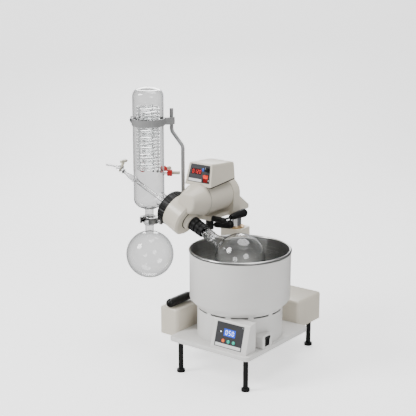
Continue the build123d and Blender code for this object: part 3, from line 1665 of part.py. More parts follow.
# Rod holder: a block clamped to the barrel's left side
with BuildPart() as rod_holder:
    holder_low = rod_low - holder_foot
    with BuildSketch(Plane.XY.offset(holder_low)):
        with Locations((rod_x, rod_y)):
            Circle(holder_width / 2)
        with Locations(((rod_x + barrel_x - barrel_radius + holder_lap) / 2, rod_y)):
            Rectangle(barrel_x - barrel_radius + holder_lap - rod_x, holder_width)
    extrude(amount=holder_height)
    with BuildSketch(barrel_plane(rod_y - holder_width)):
        Circle(barrel_radius)
    extrude(amount=2 * holder_width, mode=Mode.SUBTRACT)
    with BuildSketch(Plane.XY.offset(rod_low)):
        with Locations((rod_x, rod_y)):
            Circle(rod_radius)
    extrude(amount=holder_height, mode=Mode.SUBTRACT)
rod_holder.part.label = "rod_holder"
export_step(rod_holder.part, "parts/rod_holder.step")

# Clamp band round the condenser, with ears at the split and an arm to the rod
with BuildPart() as clamp_band:
    band_low = band_centre - band_height / 2
    band_inner = condenser_radius + seat_gap
    band_outer = band_inner + band_wall
    arm_length = hypot(rod_upper_x - condenser_x, rod_y)
    arm_turn = degrees(atan2(rod_y, rod_upper_x - condenser_x))
    with BuildSketch(Plane.XY.offset(band_low)):
        with Locations((condenser_x, 0)):
            Circle(band_outer)
        with Locations(((condenser_x + rod_upper_x) / 2, rod_y / 2)):
            Rectangle(arm_length, 2 * band_arm, rotation=arm_turn)
        with Locations((rod_upper_x, rod_y)):
            Circle(band_arm)
        with Locations((condenser_x - band_outer - (band_ear - band_wall) / 2, 0)):
            Rectangle(band_ear + band_wall, band_split + 4 * band_wall)
        with Locations((condenser_x, 0)):
            Circle(band_inner, mode=Mode.SUBTRACT)
        with Locations((condenser_x - band_outer - band_ear / 2, 0)):
            Rectangle(band_ear + 4 * band_wall, band_split, mode=Mode.SUBTRACT)
        with Locations((rod_upper_x, rod_y)):
            Circle(rod_radius, mode=Mode.SUBTRACT)
    extrude(amount=band_height)
    with BuildSketch(Plane.XZ):
        with Locations((condenser_x - band_outer - band_ear / 2, band_centre)):
            Circle(band_screw_radius)
    extrude(amount=band_split + 3 * band_wall, both=True, mode=Mode.SUBTRACT)
clamp_band.part.label = "clamp_band"
export_step(clamp_band.part, "parts/clamp_band.step")

# Screw and wing nut through the band's ears
with BuildPart() as band_screw:
    screw_x = condenser_x - band_outer - band_ear / 2
    ear_out = band_split / 2 + 2 * band_wall
    screw_plane = Plane(origin=(screw_x, -ear_out, band_centre), x_dir=(1, 0, 0), z_dir=(0, -1, 0))
    with BuildSketch(screw_plane):
        RegularPolygon(band_nut_radius, 6)
    extrude(amount=band_nut_height)
    with BuildSketch(screw_plane):
        Circle(band_screw_radius - running_fit)
    extrude(amount=-2 * ear_out - band_screw_end)
    with BuildSketch(screw_plane.offset(-2 * ear_out)):
        RegularPolygon(band_nut_radius, 6)
    extrude(amount=-band_nut_height)
band_screw.part.label = "band_screw"
export_step(band_screw.part, "parts/band_screw.step")

# Feed tube: a thin tube down the drive line, with a ground joint outside the jacket
with BuildPart() as feed_tube:
    with BuildSketch(drive_half):
        with BuildLine():
            Polyline(
                (feed_radius - feed_glass, feed_start),
                (feed_radius, feed_start),
                (feed_radius, joint_start),
                (joint_radius, joint_start),
                (joint_radius, joint_start + joint_length),
                (joint_radius - joint_taper, joint_end - joint_neck),
                (joint_neck_radius, joint_end),
                (joint_neck_radius, tap_start),
                (feed_radius - feed_glass, tap_start),
                close=True,
            )
        make_face()
    revolve(axis=drive_axis)
feed_tube.part.label = "feed_tube"
export_step(feed_tube.part, "parts/feed_tube.step")

# Tap body with its cross bore and the hose nozzle
tap_centre = flask_centre + drive_dir * (tap_start + tap_length / 2)
nozzle_root = flask_centre + drive_dir * tap_end
nozzle_knee = nozzle_root + drive_dir * nozzle_drop
with BuildPart() as tap_body:
    with BuildSketch(drive_plane(tap_start)):
        Circle(tap_radius)
    extrude(amount=tap_length)
    key_plane = Plane(origin=tap_centre, x_dir=(0, 1, 0), z_dir=drive_up)
    with BuildSketch(key_plane):
        Circle(key_radius + tap_collar_wall)
    extrude(amount=tap_radius + tap_collar_rise)
    nozzle_plane = Plane(origin=nozzle_knee, x_dir=(0, 1, 0), z_dir=(-1, 0, 0))
    for root_radius, radius, lap, mode in (
        (nozzle_root_radius, nozzle_radius, nozzle_lap, Mode.ADD),
        (tap_bore, tap_bore, 0, Mode.SUBTRACT),
    ):
        with BuildSketch(drive_plane(tap_end)):
            Circle(root_radius)
        extrude(amount=nozzle_drop + lap, mode=mode)
        with BuildSketch(nozzle_plane):
            Circle(radius)
        extrude(amount=nozzle_length, mode=mode)
    with BuildSketch(drive_plane(tap_start)):
        Circle(tap_bore)
    extrude(amount=tap_length, mode=Mode.SUBTRACT)
    with BuildSketch(key_plane.offset(-key_seat)):
        Circle(key_radius + running_fit)
    extrude(amount=key_seat + tap_radius + tap_collar_rise, mode=Mode.SUBTRACT)
tap_body.part.label = "tap_body"
export_step(tap_body.part, "parts/tap_body.step")

# Tap key: a plug with a cross bore and a cross handle
with BuildPart() as tap_key:
    with BuildSketch(key_plane.offset(seat_gap - key_seat)):
        Circle(key_radius)
    extrude(amount=key_seat + key_length)
    with BuildSketch(drive_plane(tap_start)):
        Circle(tap_bore)
    extrude(amount=tap_length, mode=Mode.SUBTRACT)
    key_top = key_plane.offset(key_length + seat_gap - key_bar_radius)
    with BuildSketch(Plane(origin=key_top.origin, x_dir=drive_up, z_dir=(0, 1, 0))):
        RectangleRounded(2 * key_bar_radius, 2 * key_bar_radius, key_round)
    extrude(amount=key_bar / 2, both=True)
tap_key.part.label = "tap_key"
export_step(tap_key.part, "parts/tap_key.step")
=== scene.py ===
import json
import math

import bmesh
import bpy
from mathutils import Matrix, Vector


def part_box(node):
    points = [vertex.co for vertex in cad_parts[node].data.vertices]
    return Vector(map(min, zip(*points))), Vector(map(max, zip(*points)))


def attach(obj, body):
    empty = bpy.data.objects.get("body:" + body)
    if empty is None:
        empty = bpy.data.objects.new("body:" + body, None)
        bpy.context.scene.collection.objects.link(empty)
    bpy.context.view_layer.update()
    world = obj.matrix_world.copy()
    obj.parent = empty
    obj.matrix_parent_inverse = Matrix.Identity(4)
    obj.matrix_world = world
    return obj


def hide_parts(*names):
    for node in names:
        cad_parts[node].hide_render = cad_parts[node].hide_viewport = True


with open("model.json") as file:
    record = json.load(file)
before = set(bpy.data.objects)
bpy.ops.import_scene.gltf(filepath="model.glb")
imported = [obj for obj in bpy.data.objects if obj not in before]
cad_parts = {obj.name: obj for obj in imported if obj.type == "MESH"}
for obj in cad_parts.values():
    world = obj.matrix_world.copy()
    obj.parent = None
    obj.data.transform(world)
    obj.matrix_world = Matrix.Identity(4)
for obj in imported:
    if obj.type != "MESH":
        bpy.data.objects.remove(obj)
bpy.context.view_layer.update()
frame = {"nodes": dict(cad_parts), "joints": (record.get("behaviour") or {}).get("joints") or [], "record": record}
nodes = frame["nodes"]
joints = {joint["name"]: joint for joint in frame["joints"]}
scene = bpy.context.scene
print("frame loaded:", len(nodes), "nodes")


def boxCentre(node):
    low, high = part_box(node)
    return (low + high) / 2


# the lines and planes that most pieces are placed on, all read from the frame
driveStart = Vector(joints["rotor_spin"]["pos_m"])     # the round flask's centre
driveDir = Vector(joints["rotor_spin"]["axis"])
glassAxis = boxCentre("receiving_flask")               # the upright condenser's line
headOut = Vector(joints["speed_knob_turn"]["axis"])    # the head panel's normal
bathOut = -Vector(joints["set_button_press"]["axis"])  # the bath panel's normal
rightWay = Vector((1, 0, 0))


def planeAt(origin, out, right=rightWay):
    # local x runs right, y up and z out of the plane
    up = out.cross(right).normalized()
    turn = Matrix((right, up, out)).transposed().to_4x4()
    return Matrix.Translation(origin) @ turn


def lineAt(origin, direction):
    # local z runs along the direction
    turn = direction.to_track_quat("Z", "Y").to_matrix().to_4x4()
    return Matrix.Translation(origin) @ turn


headPanel = {"displayRight": -0.0108, "displayUp": 0.0046, "displayBack": 0.00155}
headOrigin = boxCentre("speed_display") + headOut * headPanel["displayBack"]
headOrigin -= rightWay * headPanel["displayRight"]
headOrigin -= headOut.cross(rightWay).normalized() * headPanel["displayUp"]
headPlane = planeAt(headOrigin, headOut)

bathPanel = {"displayUp": 0.0075, "displayBack": 0.00115}
bathOrigin = boxCentre("bath_display") + bathOut * bathPanel["displayBack"]
bathOrigin -= bathOut.cross(rightWay).normalized() * bathPanel["displayUp"]
bathPlane = planeAt(bathOrigin, bathOut)
driveLine = lineAt(driveStart, driveDir)

# camera: the photograph's viewing angle, fitted to the bath's rim
camera = {
    "rim": (0.0, 0.0, 0.325),
    "place": (1.5603, -2.2028, 0.8022),
    "forward": (-0.5840, 0.7725, -0.2495),
    "lens": 93.8,
    "sensor": 36.0,
}
cameraData = bpy.data.cameras.new("camera")
cameraData.lens = camera["lens"]
cameraData.sensor_width = camera["sensor"]
cameraObject = bpy.data.objects.new("camera", cameraData)
scene.collection.objects.link(cameraObject)
cameraObject.location = Vector(camera["rim"]) + Vector(camera["place"])
cameraObject.rotation_mode = "QUATERNION"
cameraObject.rotation_quaternion = Vector(camera["forward"]).to_track_quat("-Z", "Y")
scene.camera = cameraObject
print("camera placed")


# helpers for shader nodes
def addNode(tree, kind, **settings):
    made = tree.nodes.new(kind)
    for key, value in settings.items():
        if key in made.inputs:
            made.inputs[key].default_value = value
        else:
            setattr(made, key, value)
    return made


def newGroup(name, inputs, outputs):
    group = bpy.data.node_groups.new(name, "ShaderNodeTree")
    for label, kind, value in inputs:
        socket = group.interface.new_socket(label, in_out="INPUT", socket_type=kind)
        socket.default_value = value
    for label, kind in outputs:
        group.interface.new_socket(label, in_out="OUTPUT", socket_type=kind)
    source = group.nodes.new("NodeGroupInput")
    target = group.nodes.new("NodeGroupOutput")
    return group, source, target


def buildTintGroup():
    # slow drift between two tones, as in sprayed paint and moulded plastic
    inputs = (
        ("Light", "NodeSocketColor", (1, 1, 1, 1)),
        ("Dark", "NodeSocketColor", (0.5, 0.5, 0.5, 1)),
        ("Scale", "NodeSocketFloat", 20.0),
        ("Amount", "NodeSocketFloat", 1.0),
    )
    group, source, target = newGroup("toneDrift", inputs, (("Color", "NodeSocketColor"),))
    place = addNode(group, "ShaderNodeTexCoord")
    noise = addNode(group, "ShaderNodeTexNoise", Detail=5.0, Roughness=0.6)
    strength = addNode(group, "ShaderNodeMath", operation="MULTIPLY")
    mix = addNode(group, "ShaderNodeMix", data_type="RGBA")
    link = group.links.new
    link(place.outputs["Object"], noise.inputs["Vector"])
    link(source.outputs["Scale"], noise.inputs["Scale"])
    link(noise.outputs["Fac"], strength.inputs[0])
    link(source.outputs["Amount"], strength.inputs[1])
    link(strength.outputs[0], mix.inputs["Factor"])
    link(source.outputs["Light"], mix.inputs[6])
    link(source.outputs["Dark"], mix.inputs[7])
    link(mix.outputs[2], target.inputs["Color"])
    return group


def buildPatchGroup():
    # duller and shinier patches, as handling leaves them
    inputs = (
        ("Low", "NodeSocketFloat", 0.3),
        ("High", "NodeSocketFloat", 0.5),
        ("Scale", "NodeSocketFloat", 12.0),
    )
    group, source, target = newGroup("glossPatches", inputs, (("Roughness", "NodeSocketFloat"),))
    place = addNode(group, "ShaderNodeTexCoord")
    noise = addNode(group, "ShaderNodeTexNoise", Detail=6.0, Roughness=0.65)
    spread = addNode(group, "ShaderNodeMapRange")
    link = group.links.new
    link(place.outputs["Object"], noise.inputs["Vector"])
    link(source.outputs["Scale"], noise.inputs["Scale"])
    link(noise.outputs["Fac"], spread.inputs["Value"])
    link(source.outputs["Low"], spread.inputs["To Min"])
    link(source.outputs["High"], spread.inputs["To Max"])
    link(spread.outputs["Result"], target.inputs["Roughness"])
    return group


def buildGrainGroup():
    # fine raised grain, in cells per metre
    inputs = (("Scale", "NodeSocketFloat", 900.0), ("Detail", "NodeSocketFloat", 3.0))
    group, source, target = newGroup("fineGrain", inputs, (("Height", "NodeSocketFloat"),))
    place = addNode(group, "ShaderNodeTexCoord")
    noise = addNode(group, "ShaderNodeTexNoise", Roughness=0.55)
    link = group.links.new
    link(place.outputs["Object"], noise.inputs["Vector"])
    link(source.outputs["Scale"], noise.inputs["Scale"])
    link(source.outputs["Detail"], noise.inputs["Detail"])
    link(noise.outputs["Fac"], target.inputs["Height"])
    return group


def buildTurnedGroup():
    # rings round the upright axis, as a spun or polished bowl has
    inputs = (
        ("Scale", "NodeSocketFloat", 900.0),
        ("Low", "NodeSocketFloat", 0.2),
        ("High", "NodeSocketFloat", 0.4),
    )
    outputs = (("Height", "NodeSocketFloat"), ("Roughness", "NodeSocketFloat"))
    group, source, target = newGroup("turnedRings", inputs, outputs)
    place = addNode(group, "ShaderNodeTexCoord")
    parts = addNode(group, "ShaderNodeSeparateXYZ")
    flat = addNode(group, "ShaderNodeCombineXYZ")
    radius = addNode(group, "ShaderNodeVectorMath", operation="LENGTH")
    ringed = addNode(group, "ShaderNodeCombineXYZ")
    noise = addNode(group, "ShaderNodeTexNoise", Detail=2.0)
    spread = addNode(group, "ShaderNodeMapRange")
    link = group.links.new
    link(place.outputs["Object"], parts.inputs["Vector"])
    link(parts.outputs["X"], flat.inputs["X"])
    link(parts.outputs["Y"], flat.inputs["Y"])
    link(flat.outputs["Vector"], radius.inputs[0])
    link(radius.outputs["Value"], ringed.inputs["X"])
    link(parts.outputs["Z"], ringed.inputs["Z"])
    link(ringed.outputs["Vector"], noise.inputs["Vector"])
    link(source.outputs["Scale"], noise.inputs["Scale"])
    link(noise.outputs["Fac"], spread.inputs["Value"])
    link(source.outputs["Low"], spread.inputs["To Min"])
    link(source.outputs["High"], spread.inputs["To Max"])
    link(noise.outputs["Fac"], target.inputs["Height"])
    link(spread.outputs["Result"], target.inputs["Roughness"])
    return group


toneDrift = buildTintGroup()
glossPatches = buildPatchGroup()
fineGrain = buildGrainGroup()
turnedRings = buildTurnedGroup()


def placeGroup(tree, group, **values):
    made = tree.nodes.new("ShaderNodeGroup")
    made.node_tree = group
    for key, value in values.items():
        made.inputs[key].default_value = value
    return made


def newMaterial(name):
    material = bpy.data.materials.new(name)
    material.use_nodes = True
    shader = material.node_tree.nodes["Principled BSDF"]
    return material, material.node_tree, shader


def colour(red, green, blue):
    return (red, green, blue, 1.0)


def makeFinish(name, light, dark, low, high, metallic=0.0, coat=0.0, tone=18.0, patch=14.0,
               grain=900.0, depth=0.00002, turned=0.0, glow=0.0, specular=0.5):
    # one finish: drifting tone, glossy and dull patches and a fine grain
    material, tree, shader = newMaterial(name)
    link = tree.links.new
    tint = placeGroup(tree, toneDrift, Light=colour(*light), Dark=colour(*dark), Scale=tone)
    link(tint.outputs["Color"], shader.inputs["Base Color"])
    bump = addNode(tree, "ShaderNodeBump", Strength=1.0, Distance=depth)
    if turned:
        rings = placeGroup(tree, turnedRings, Scale=turned, Low=low, High=high)
        link(rings.outputs["Roughness"], shader.inputs["Roughness"])
        link(rings.outputs["Height"], bump.inputs["Height"])
    else:
        patches = placeGroup(tree, glossPatches, Low=low, High=high, Scale=patch)
        link(patches.outputs["Roughness"], shader.inputs["Roughness"])
        texture = placeGroup(tree, fineGrain, Scale=grain)
        link(texture.outputs["Height"], bump.inputs["Height"])
    link(bump.outputs["Normal"], shader.inputs["Normal"])
    shader.inputs["Metallic"].default_value = metallic
    shader.inputs["Specular IOR Level"].default_value = specular
    shader.inputs["Coat Weight"].default_value = coat
    shader.inputs["Coat Roughness"].default_value = 0.12
    if glow:
        link(tint.outputs["Color"], shader.inputs["Emission Color"])
        shader.inputs["Emission Strength"].default_value = glow
    return material


def makeGlass(name, tone, paintedEdgeShade, edge=2.6, roughness=0.0, grain=60.0, depth=0.00004):
    # clear blown glass with a faint ripple; its colour is darker where the wall is seen edge-on, a painted shade
    # in place of the dark outlines of the glass walls
    material, tree, shader = newMaterial(name)
    link = tree.links.new
    facing = addNode(tree, "ShaderNodeLayerWeight", Blend=0.5)
    narrow = addNode(tree, "ShaderNodeMath", operation="POWER")
    narrow.inputs[1].default_value = edge
    mix = addNode(tree, "ShaderNodeMix", data_type="RGBA")
    mix.inputs[6].default_value = colour(*tone)
    mix.inputs[7].default_value = colour(*paintedEdgeShade)
    link(facing.outputs["Facing"], narrow.inputs[0])
    link(narrow.outputs[0], mix.inputs["Factor"])
    link(mix.outputs[2], shader.inputs["Base Color"])
    shader.inputs["Roughness"].default_value = roughness
    shader.inputs["IOR"].default_value = 1.47
    shader.inputs["Transmission Weight"].default_value = 1.0
    ripple = placeGroup(tree, fineGrain, Scale=grain, Detail=1.0)
    bump = addNode(tree, "ShaderNodeBump", Strength=1.0, Distance=depth)
    link(ripple.outputs["Height"], bump.inputs["Height"])
    link(bump.outputs["Normal"], shader.inputs["Normal"])
    return material


def grey(value):
    return (value, value, value)


finishes = {
    "cream_paint": makeFinish("creamPaint", (0.60, 0.555, 0.465), (0.54, 0.495, 0.41), 0.30, 0.44, coat=0.2,
                              depth=0.00003),
    "white_paint": makeFinish("whitePaint", (0.70, 0.69, 0.67), (0.63, 0.62, 0.60), 0.28, 0.42, coat=0.2),
    "black_steel": makeFinish("blackSteel", grey(0.008), grey(0.014), 0.35, 0.5, specular=0.3),
    "zinc": makeFinish("zincPlate", grey(0.62), (0.48, 0.48, 0.47), 0.25, 0.42, metallic=1.0, tone=60.0),
    "stainless": makeFinish("spunSteel", (0.52, 0.52, 0.51), (0.44, 0.44, 0.43), 0.24, 0.34, metallic=1.0,
                            turned=700.0, depth=0.00001),
    "chrome": makeFinish("chromePlate", (0.75, 0.76, 0.77), (0.66, 0.67, 0.69), 0.05, 0.14, metallic=1.0),
    "rod_grey": makeFinish("rodGrey", grey(0.31), grey(0.25), 0.28, 0.42, metallic=0.3),
    "bronze": makeFinish("sinteredBronze", (0.50, 0.34, 0.17), (0.38, 0.25, 0.12), 0.4, 0.55, metallic=1.0),
    "gear_brass": makeFinish("gearBrass", (0.68, 0.50, 0.22), (0.55, 0.40, 0.17), 0.25, 0.4, metallic=1.0),
    "dark_steel": makeFinish("darkSteel", (0.10, 0.10, 0.105), (0.06, 0.06, 0.065), 0.3, 0.45, metallic=0.9),
    "black_plastic": makeFinish("blackPlastic", grey(0.005), grey(0.010), 0.26, 0.4, grain=1500.0,
                                depth=0.00004, specular=0.2),
    "dark_plate": makeFinish("darkPlate", (0.045, 0.045, 0.048), (0.035, 0.035, 0.038), 0.38, 0.5,
                             grain=2500.0, specular=0.3),
    "blue_display": makeFinish("blueWindow", (0.02, 0.09, 0.75), (0.015, 0.07, 0.6), 0.1, 0.2, coat=0.6,
                               glow=0.5),
    "red_display": makeFinish("redWindow", (0.05, 0.004, 0.004), (0.03, 0.003, 0.003), 0.1, 0.2, coat=0.6),
    "red_plastic": makeFinish("redPlastic", (0.60, 0.016, 0.016), (0.48, 0.012, 0.012), 0.22, 0.35, coat=0.3),
    "blue_plastic": makeFinish("bluePlastic", (0.02, 0.12, 0.62), (0.015, 0.09, 0.5), 0.2, 0.32, coat=0.3),
    # painted light: the orange and teal button caps get a faint glow, though they hold no lamp
    "orange_plastic": makeFinish("orangePlastic", (0.85, 0.17, 0.03), (0.75, 0.13, 0.02), 0.2, 0.32, coat=0.3,
                                 glow=0.25),
    "teal_plastic": makeFinish("tealPlastic", (0.02, 0.46, 0.33), (0.015, 0.38, 0.27), 0.2, 0.32, coat=0.3,
                               glow=0.2),
    "white_plastic": makeFinish("ivoryPlastic", (0.58, 0.55, 0.44), (0.50, 0.47, 0.37), 0.3, 0.42),
    "seal": makeFinish("blackRubberAndPaintedShadow", grey(0.008), grey(0.014), 0.5, 0.65, specular=0.2),
    # both glasses carry painted shade: their second colour is the shade painted on the walls seen edge-on
    "glass": makeGlass("clearGlass", grey(1.0), (0.08, 0.09, 0.09), edge=2.2),
    "coil_glass": makeGlass("coilGlass", (0.93, 0.945, 0.945), (0.02, 0.025, 0.025), edge=1.3),
}
litRed = makeFinish("litRed", (0.9, 0.02, 0.015), (0.8, 0.015, 0.01), 0.3, 0.4, glow=1.1)
clampSteel = makeFinish("clampSteel", grey(0.30), grey(0.20), 0.28, 0.42, metallic=0.9)
litWhite = makeFinish("litWhite", (0.9, 0.95, 1.0), (0.8, 0.9, 1.0), 0.3, 0.4, glow=1.5)
stripWhite = makeFinish("stripWhite", (0.72, 0.72, 0.71), (0.66, 0.66, 0.65), 0.35, 0.45)
print("finishes made:", len(finishes))


# CAD nodes: soft shading across curves and sharp shading at creases, by modifiers only
def buildSmoothing():
    group = bpy.data.node_groups.new("roundShading", "GeometryNodeTree")
    group.is_modifier = True
    group.interface.new_socket("Geometry", in_out="INPUT", socket_type="NodeSocketGeometry")
    limit = group.interface.new_socket("Angle", in_out="INPUT", socket_type="NodeSocketFloat")
    limit.default_value = 0.6
    group.interface.new_socket("Geometry", in_out="OUTPUT", socket_type="NodeSocketGeometry")
    source = group.nodes.new("NodeGroupInput")
    target = group.nodes.new("NodeGroupOutput")
    merge = group.nodes.new("GeometryNodeMergeByDistance")
    merge.inputs["Distance"].default_value = 0.000002
    faces = group.nodes.new("GeometryNodeSetShadeSmooth")
    edges = group.nodes.new("GeometryNodeSetShadeSmooth")
    edges.domain = "EDGE"
    angle = group.nodes.new("GeometryNodeInputMeshEdgeAngle")
    sharp = group.nodes.new("FunctionNodeCompare")
    sharp.operation = "GREATER_THAN"
    link = group.links.new
    link(source.outputs["Geometry"], merge.inputs["Geometry"])
    link(merge.outputs["Geometry"], faces.inputs["Geometry"])
    link(faces.outputs["Geometry"], edges.inputs["Geometry"])
    link(angle.outputs["Unsigned Angle"], sharp.inputs["A"])
    link(source.outputs["Angle"], sharp.inputs["B"])
    link(sharp.outputs["Result"], edges.inputs["Selection"])
    edges.inputs["Shade Smooth"].default_value = False
    link(edges.outputs["Geometry"], target.inputs["Geometry"])
    return group


roundShading = buildSmoothing()
for node, piece in nodes.items():
    slotName = next(entry["material_slot"] for entry in frame["record"]["subparts"] if entry["node"] == node)
    piece.data.materials.clear()
    piece.data.materials.append(finishes[slotName])
    smooth = piece.modifiers.new("roundShading", "NODES")
    smooth.node_group = roundShading
print("CAD nodes dressed")


# helpers for modelled pieces
def finishPiece(bm, name, material, body, place=None, smooth=True, replaced=()):
    mesh = bpy.data.meshes.new(name)
    if place is not None:
        bmesh.ops.transform(bm, matrix=place, verts=bm.verts)
    bm.to_mesh(mesh)
    bm.free()
    mesh.materials.append(material)
    if smooth:
        mesh.shade_smooth()
    piece = bpy.data.objects.new(name, mesh)
    scene.collection.objects.link(piece)
    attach(piece, body)
    if replaced:
        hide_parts(*replaced)
    return piece


def softenEdges(piece, width, segments=2, angle=0.6):
    bevel = piece.modifiers.new("edges", "BEVEL")
    bevel.width = width
    bevel.segments = segments
    bevel.limit_method = "ANGLE"
    bevel.angle_limit = angle
    bevel.harden_normals = False


def spinProfile(bm, points, steps=96):
    # turns (radius, height) points about local z; a closed list makes a solid wall
    verts = [bm.verts.new((radius, 0, height)) for radius, height in points]
    edges = [bm.edges.new(pair) for pair in zip(verts, verts[1:])]
    bmesh.ops.spin(bm, geom=verts + edges, cent=(0, 0, 0), axis=(0, 0, 1), angle=math.tau, steps=steps,
                   use_merge=True)
    bmesh.ops.remove_doubles(bm, verts=bm.verts, dist=0.000002)
    bmesh.ops.recalc_face_normals(bm, faces=bm.faces)


def arcPoints(middle, radius, start, end, count):
    # points on an arc, angles in degrees from local x
    made = []
    for step in range(count + 1):
        angle = math.radians(start + (end - start) * step / count)
        made.append((middle[0] + radius * math.cos(angle), middle[1] + radius * math.sin(angle)))
    return made


def addMesh(bm, extra, place=None):
    # moves one mesh to its place and adds it to another
    if place is not None:
        bmesh.ops.transform(extra, matrix=place, verts=extra.verts)
    mesh = bpy.data.meshes.new("extra")
    extra.to_mesh(mesh)
    extra.free()
    bm.from_mesh(mesh)
    bpy.data.meshes.remove(mesh)


def addTurned(bm, line, steps=96, place=None):
    # a closed wall turned about local z
    turned = bmesh.new()
    spinProfile(turned, line + line[:1], steps)
    addMesh(bm, turned, place)


def turnedPiece(name, line, place, material, body, steps=96, smooth=False, replaced=()):
    bm = bmesh.new()
    spinProfile(bm, line + line[:1], steps)
    finishPiece(bm, name, material, body, place, smooth, replaced)


def wallLine(inner, outer, low, high):
    # a plain square section for a turned ring
    return [(inner, low), (outer, low), (outer, high), (inner, high)]


def raiseFaces(bm, thick):
    # flat faces get a thickness along local z
    solid = bmesh.ops.extrude_face_region(bm, geom=bm.faces[:])
    raised = [item for item in solid["geom"] if isinstance(item, bmesh.types.BMVert)]
    bmesh.ops.translate(bm, vec=(0, 0, thick), verts=raised)
    bmesh.ops.recalc_face_normals(bm, faces=bm.faces)


def ringEdges(made):
    return list({edge for vert in made["verts"] for edge in vert.link_edges})


# evaporating flask: blown bulb, flared shoulder and a ribbed neck
flask = {
    "radius": 0.0655,
    "wall": 0.002,
    "bulbSteps": 44,
    "shoulder": 66.0,      # degrees round the bulb, from its equator
    "shoulderSteps": 8,
    "flare": 2.2,
    "ease": 0.1,           # share of the shoulder that eases in at both ends
    "neck": 0.014,
    "neckStart": 0.098,
    "neckEnd": 0.150,
    "beads": 3,
    "beadStart": 0.8,      # pitches above the neck's start
    "beadPitch": 0.007,
    "beadHalf": 0.0018,
    "beadProud": 0.0014,
}


def flaskLine(radius, neck, beads):
    line = arcPoints((0, 0), radius, -90, flask["shoulder"], flask["bulbSteps"])
    root = line[-1]
    narrowing = neck - root[0]
    span = flask["neckStart"] - root[1]
    for step in range(1, flask["shoulderSteps"] + 1):
        part = step / flask["shoulderSteps"]
        flared = root[0] + narrowing * (1 - (1 - part) ** flask["flare"])
        eased = root[0] + narrowing * part * part * (3 - 2 * part)
        line.append((flared * (1 - flask["ease"]) + eased * flask["ease"], root[1] + span * part))
    for count in range(beads):
        middle = flask["neckStart"] + flask["beadPitch"] * (count + flask["beadStart"])
        for turn in range(0, 181, 30):
            angle = math.radians(turn)
            swell = flask["beadProud"] * math.sin(angle)
            line.append((neck + swell, middle - flask["beadHalf"] * math.cos(angle)))
    line.append((neck, flask["neckEnd"]))
    return line


outerLine = flaskLine(flask["radius"], flask["neck"], flask["beads"])
innerLine = flaskLine(flask["radius"] - flask["wall"], flask["neck"] - flask["wall"], 0)
bm = bmesh.new()
spinProfile(bm, outerLine + innerLine[::-1])
finishPiece(bm, "round_flask", finishes["glass"], "rotor", driveLine,
            replaced=("evaporating_flask",))
print("flask made")

# cooling coils: two close helices of round glass tube
coil = {
    "tube": 0.0033,
    "tubeSegments": 12,
    "outer": {"radius": 0.0295, "pitch": 0.0093, "turns": 19},
    "inner": {"radius": 0.0150, "pitch": 0.01488, "turns": 12},
    "bottom": 0.491,
    "steps": 36,           # of one turn
}


def coilTurns(bm, radius, pitch, turns):
    place = Matrix.Translation((radius, 0, 0)) @ Matrix.Rotation(math.pi / 2, 4, "X")
    ring = bmesh.ops.create_circle(bm, segments=coil["tubeSegments"], radius=coil["tube"], matrix=place)
    bmesh.ops.spin(bm, geom=ring["verts"] + ringEdges(ring), cent=(0, 0, 0), axis=(0, 0, 1),
                   dvec=(0, 0, pitch / coil["steps"]), angle=math.tau * turns, steps=turns * coil["steps"])
    bmesh.ops.holes_fill(bm, edges=[edge for edge in bm.edges if edge.is_boundary])
    bmesh.ops.recalc_face_normals(bm, faces=bm.faces)


coilPlace = Matrix.Translation((glassAxis.x, glassAxis.y, coil["bottom"]))
for name, helix, replaced in (
    ("outer_coil", coil["outer"], ("cooling_coil",)),
    ("inner_coil", coil["inner"], ()),
):
    bm = bmesh.new()
    coilTurns(bm, **helix)
    finishPiece(bm, name, finishes["coil_glass"], "head", coilPlace, replaced=replaced)
print("coils made")

# seven-segment digits for the two displays
segmentPlaces = {
    "top": (0.0, 1.0, 90),
    "middle": (0.0, 0.0, 90),
    "bottom": (0.0, -1.0, 90),
    "upperLeft": (-1.0, 0.5, 0),
    "upperRight": (1.0, 0.5, 0),
    "lowerLeft": (-1.0, -0.5, 0),
    "lowerRight": (1.0, -0.5, 0),
}
digitSegments = {
    "0": ("top", "bottom", "upperLeft", "upperRight", "lowerLeft", "lowerRight"),
    "1": ("upperRight", "lowerRight"),
    "2": ("top", "upperRight", "middle", "lowerLeft", "bottom"),
    "5": ("top", "upperLeft", "middle", "lowerRight", "bottom"),
}
segment = {"fill": 0.92, "raised": 0.00012}
speedDigits = {"text": "0120", "right": -0.0108, "up": 0.0046, "width": 0.0042, "height": 0.0090,
               "pitch": 0.0075, "thick": 0.0011, "lift": -0.00062}
bathDigits = {"text": "050", "right": 0.0, "up": 0.0075, "width": 0.0050, "height": 0.0105,
              "pitch": 0.0098, "thick": 0.0013, "lift": -0.00032}


def segmentBar(bm, length, thick, place):
    pointUp = Matrix.Rotation(math.pi / 6, 4, "Z")
    made = bmesh.ops.create_circle(bm, cap_ends=True, segments=6, radius=0.5, matrix=pointUp)
    bmesh.ops.scale(bm, vec=(thick, length, 1), verts=made["verts"])
    bmesh.ops.transform(bm, matrix=place, verts=made["verts"])


def digitRow(name, digits, plane, material, body):
    bm = bmesh.new()
    halfWidth, halfHeight = digits["width"] / 2, digits["height"] / 2
    firstRight = digits["right"] - (len(digits["text"]) - 1) / 2 * digits["pitch"]
    for count, letter in enumerate(digits["text"]):
        middle = firstRight + count * digits["pitch"]
        for label in digitSegments[letter]:
            across, rise, turn = segmentPlaces[label]
            spot = Vector((middle + across * halfWidth, digits["up"] + rise * halfHeight, digits["lift"]))
            length = (digits["width"] if turn else halfHeight) * segment["fill"]
            place = Matrix.Translation(spot) @ Matrix.Rotation(math.radians(turn), 4, "Z")
            segmentBar(bm, length, digits["thick"], place)
    raiseFaces(bm, segment["raised"])
    finishPiece(bm, name, material, body, plane, smooth=False)


digitRow("speed_digits", speedDigits, headPlane, litRed, "head")
digitRow("bath_digits", bathDigits, bathPlane, litWhite, "base")
print("digits made")


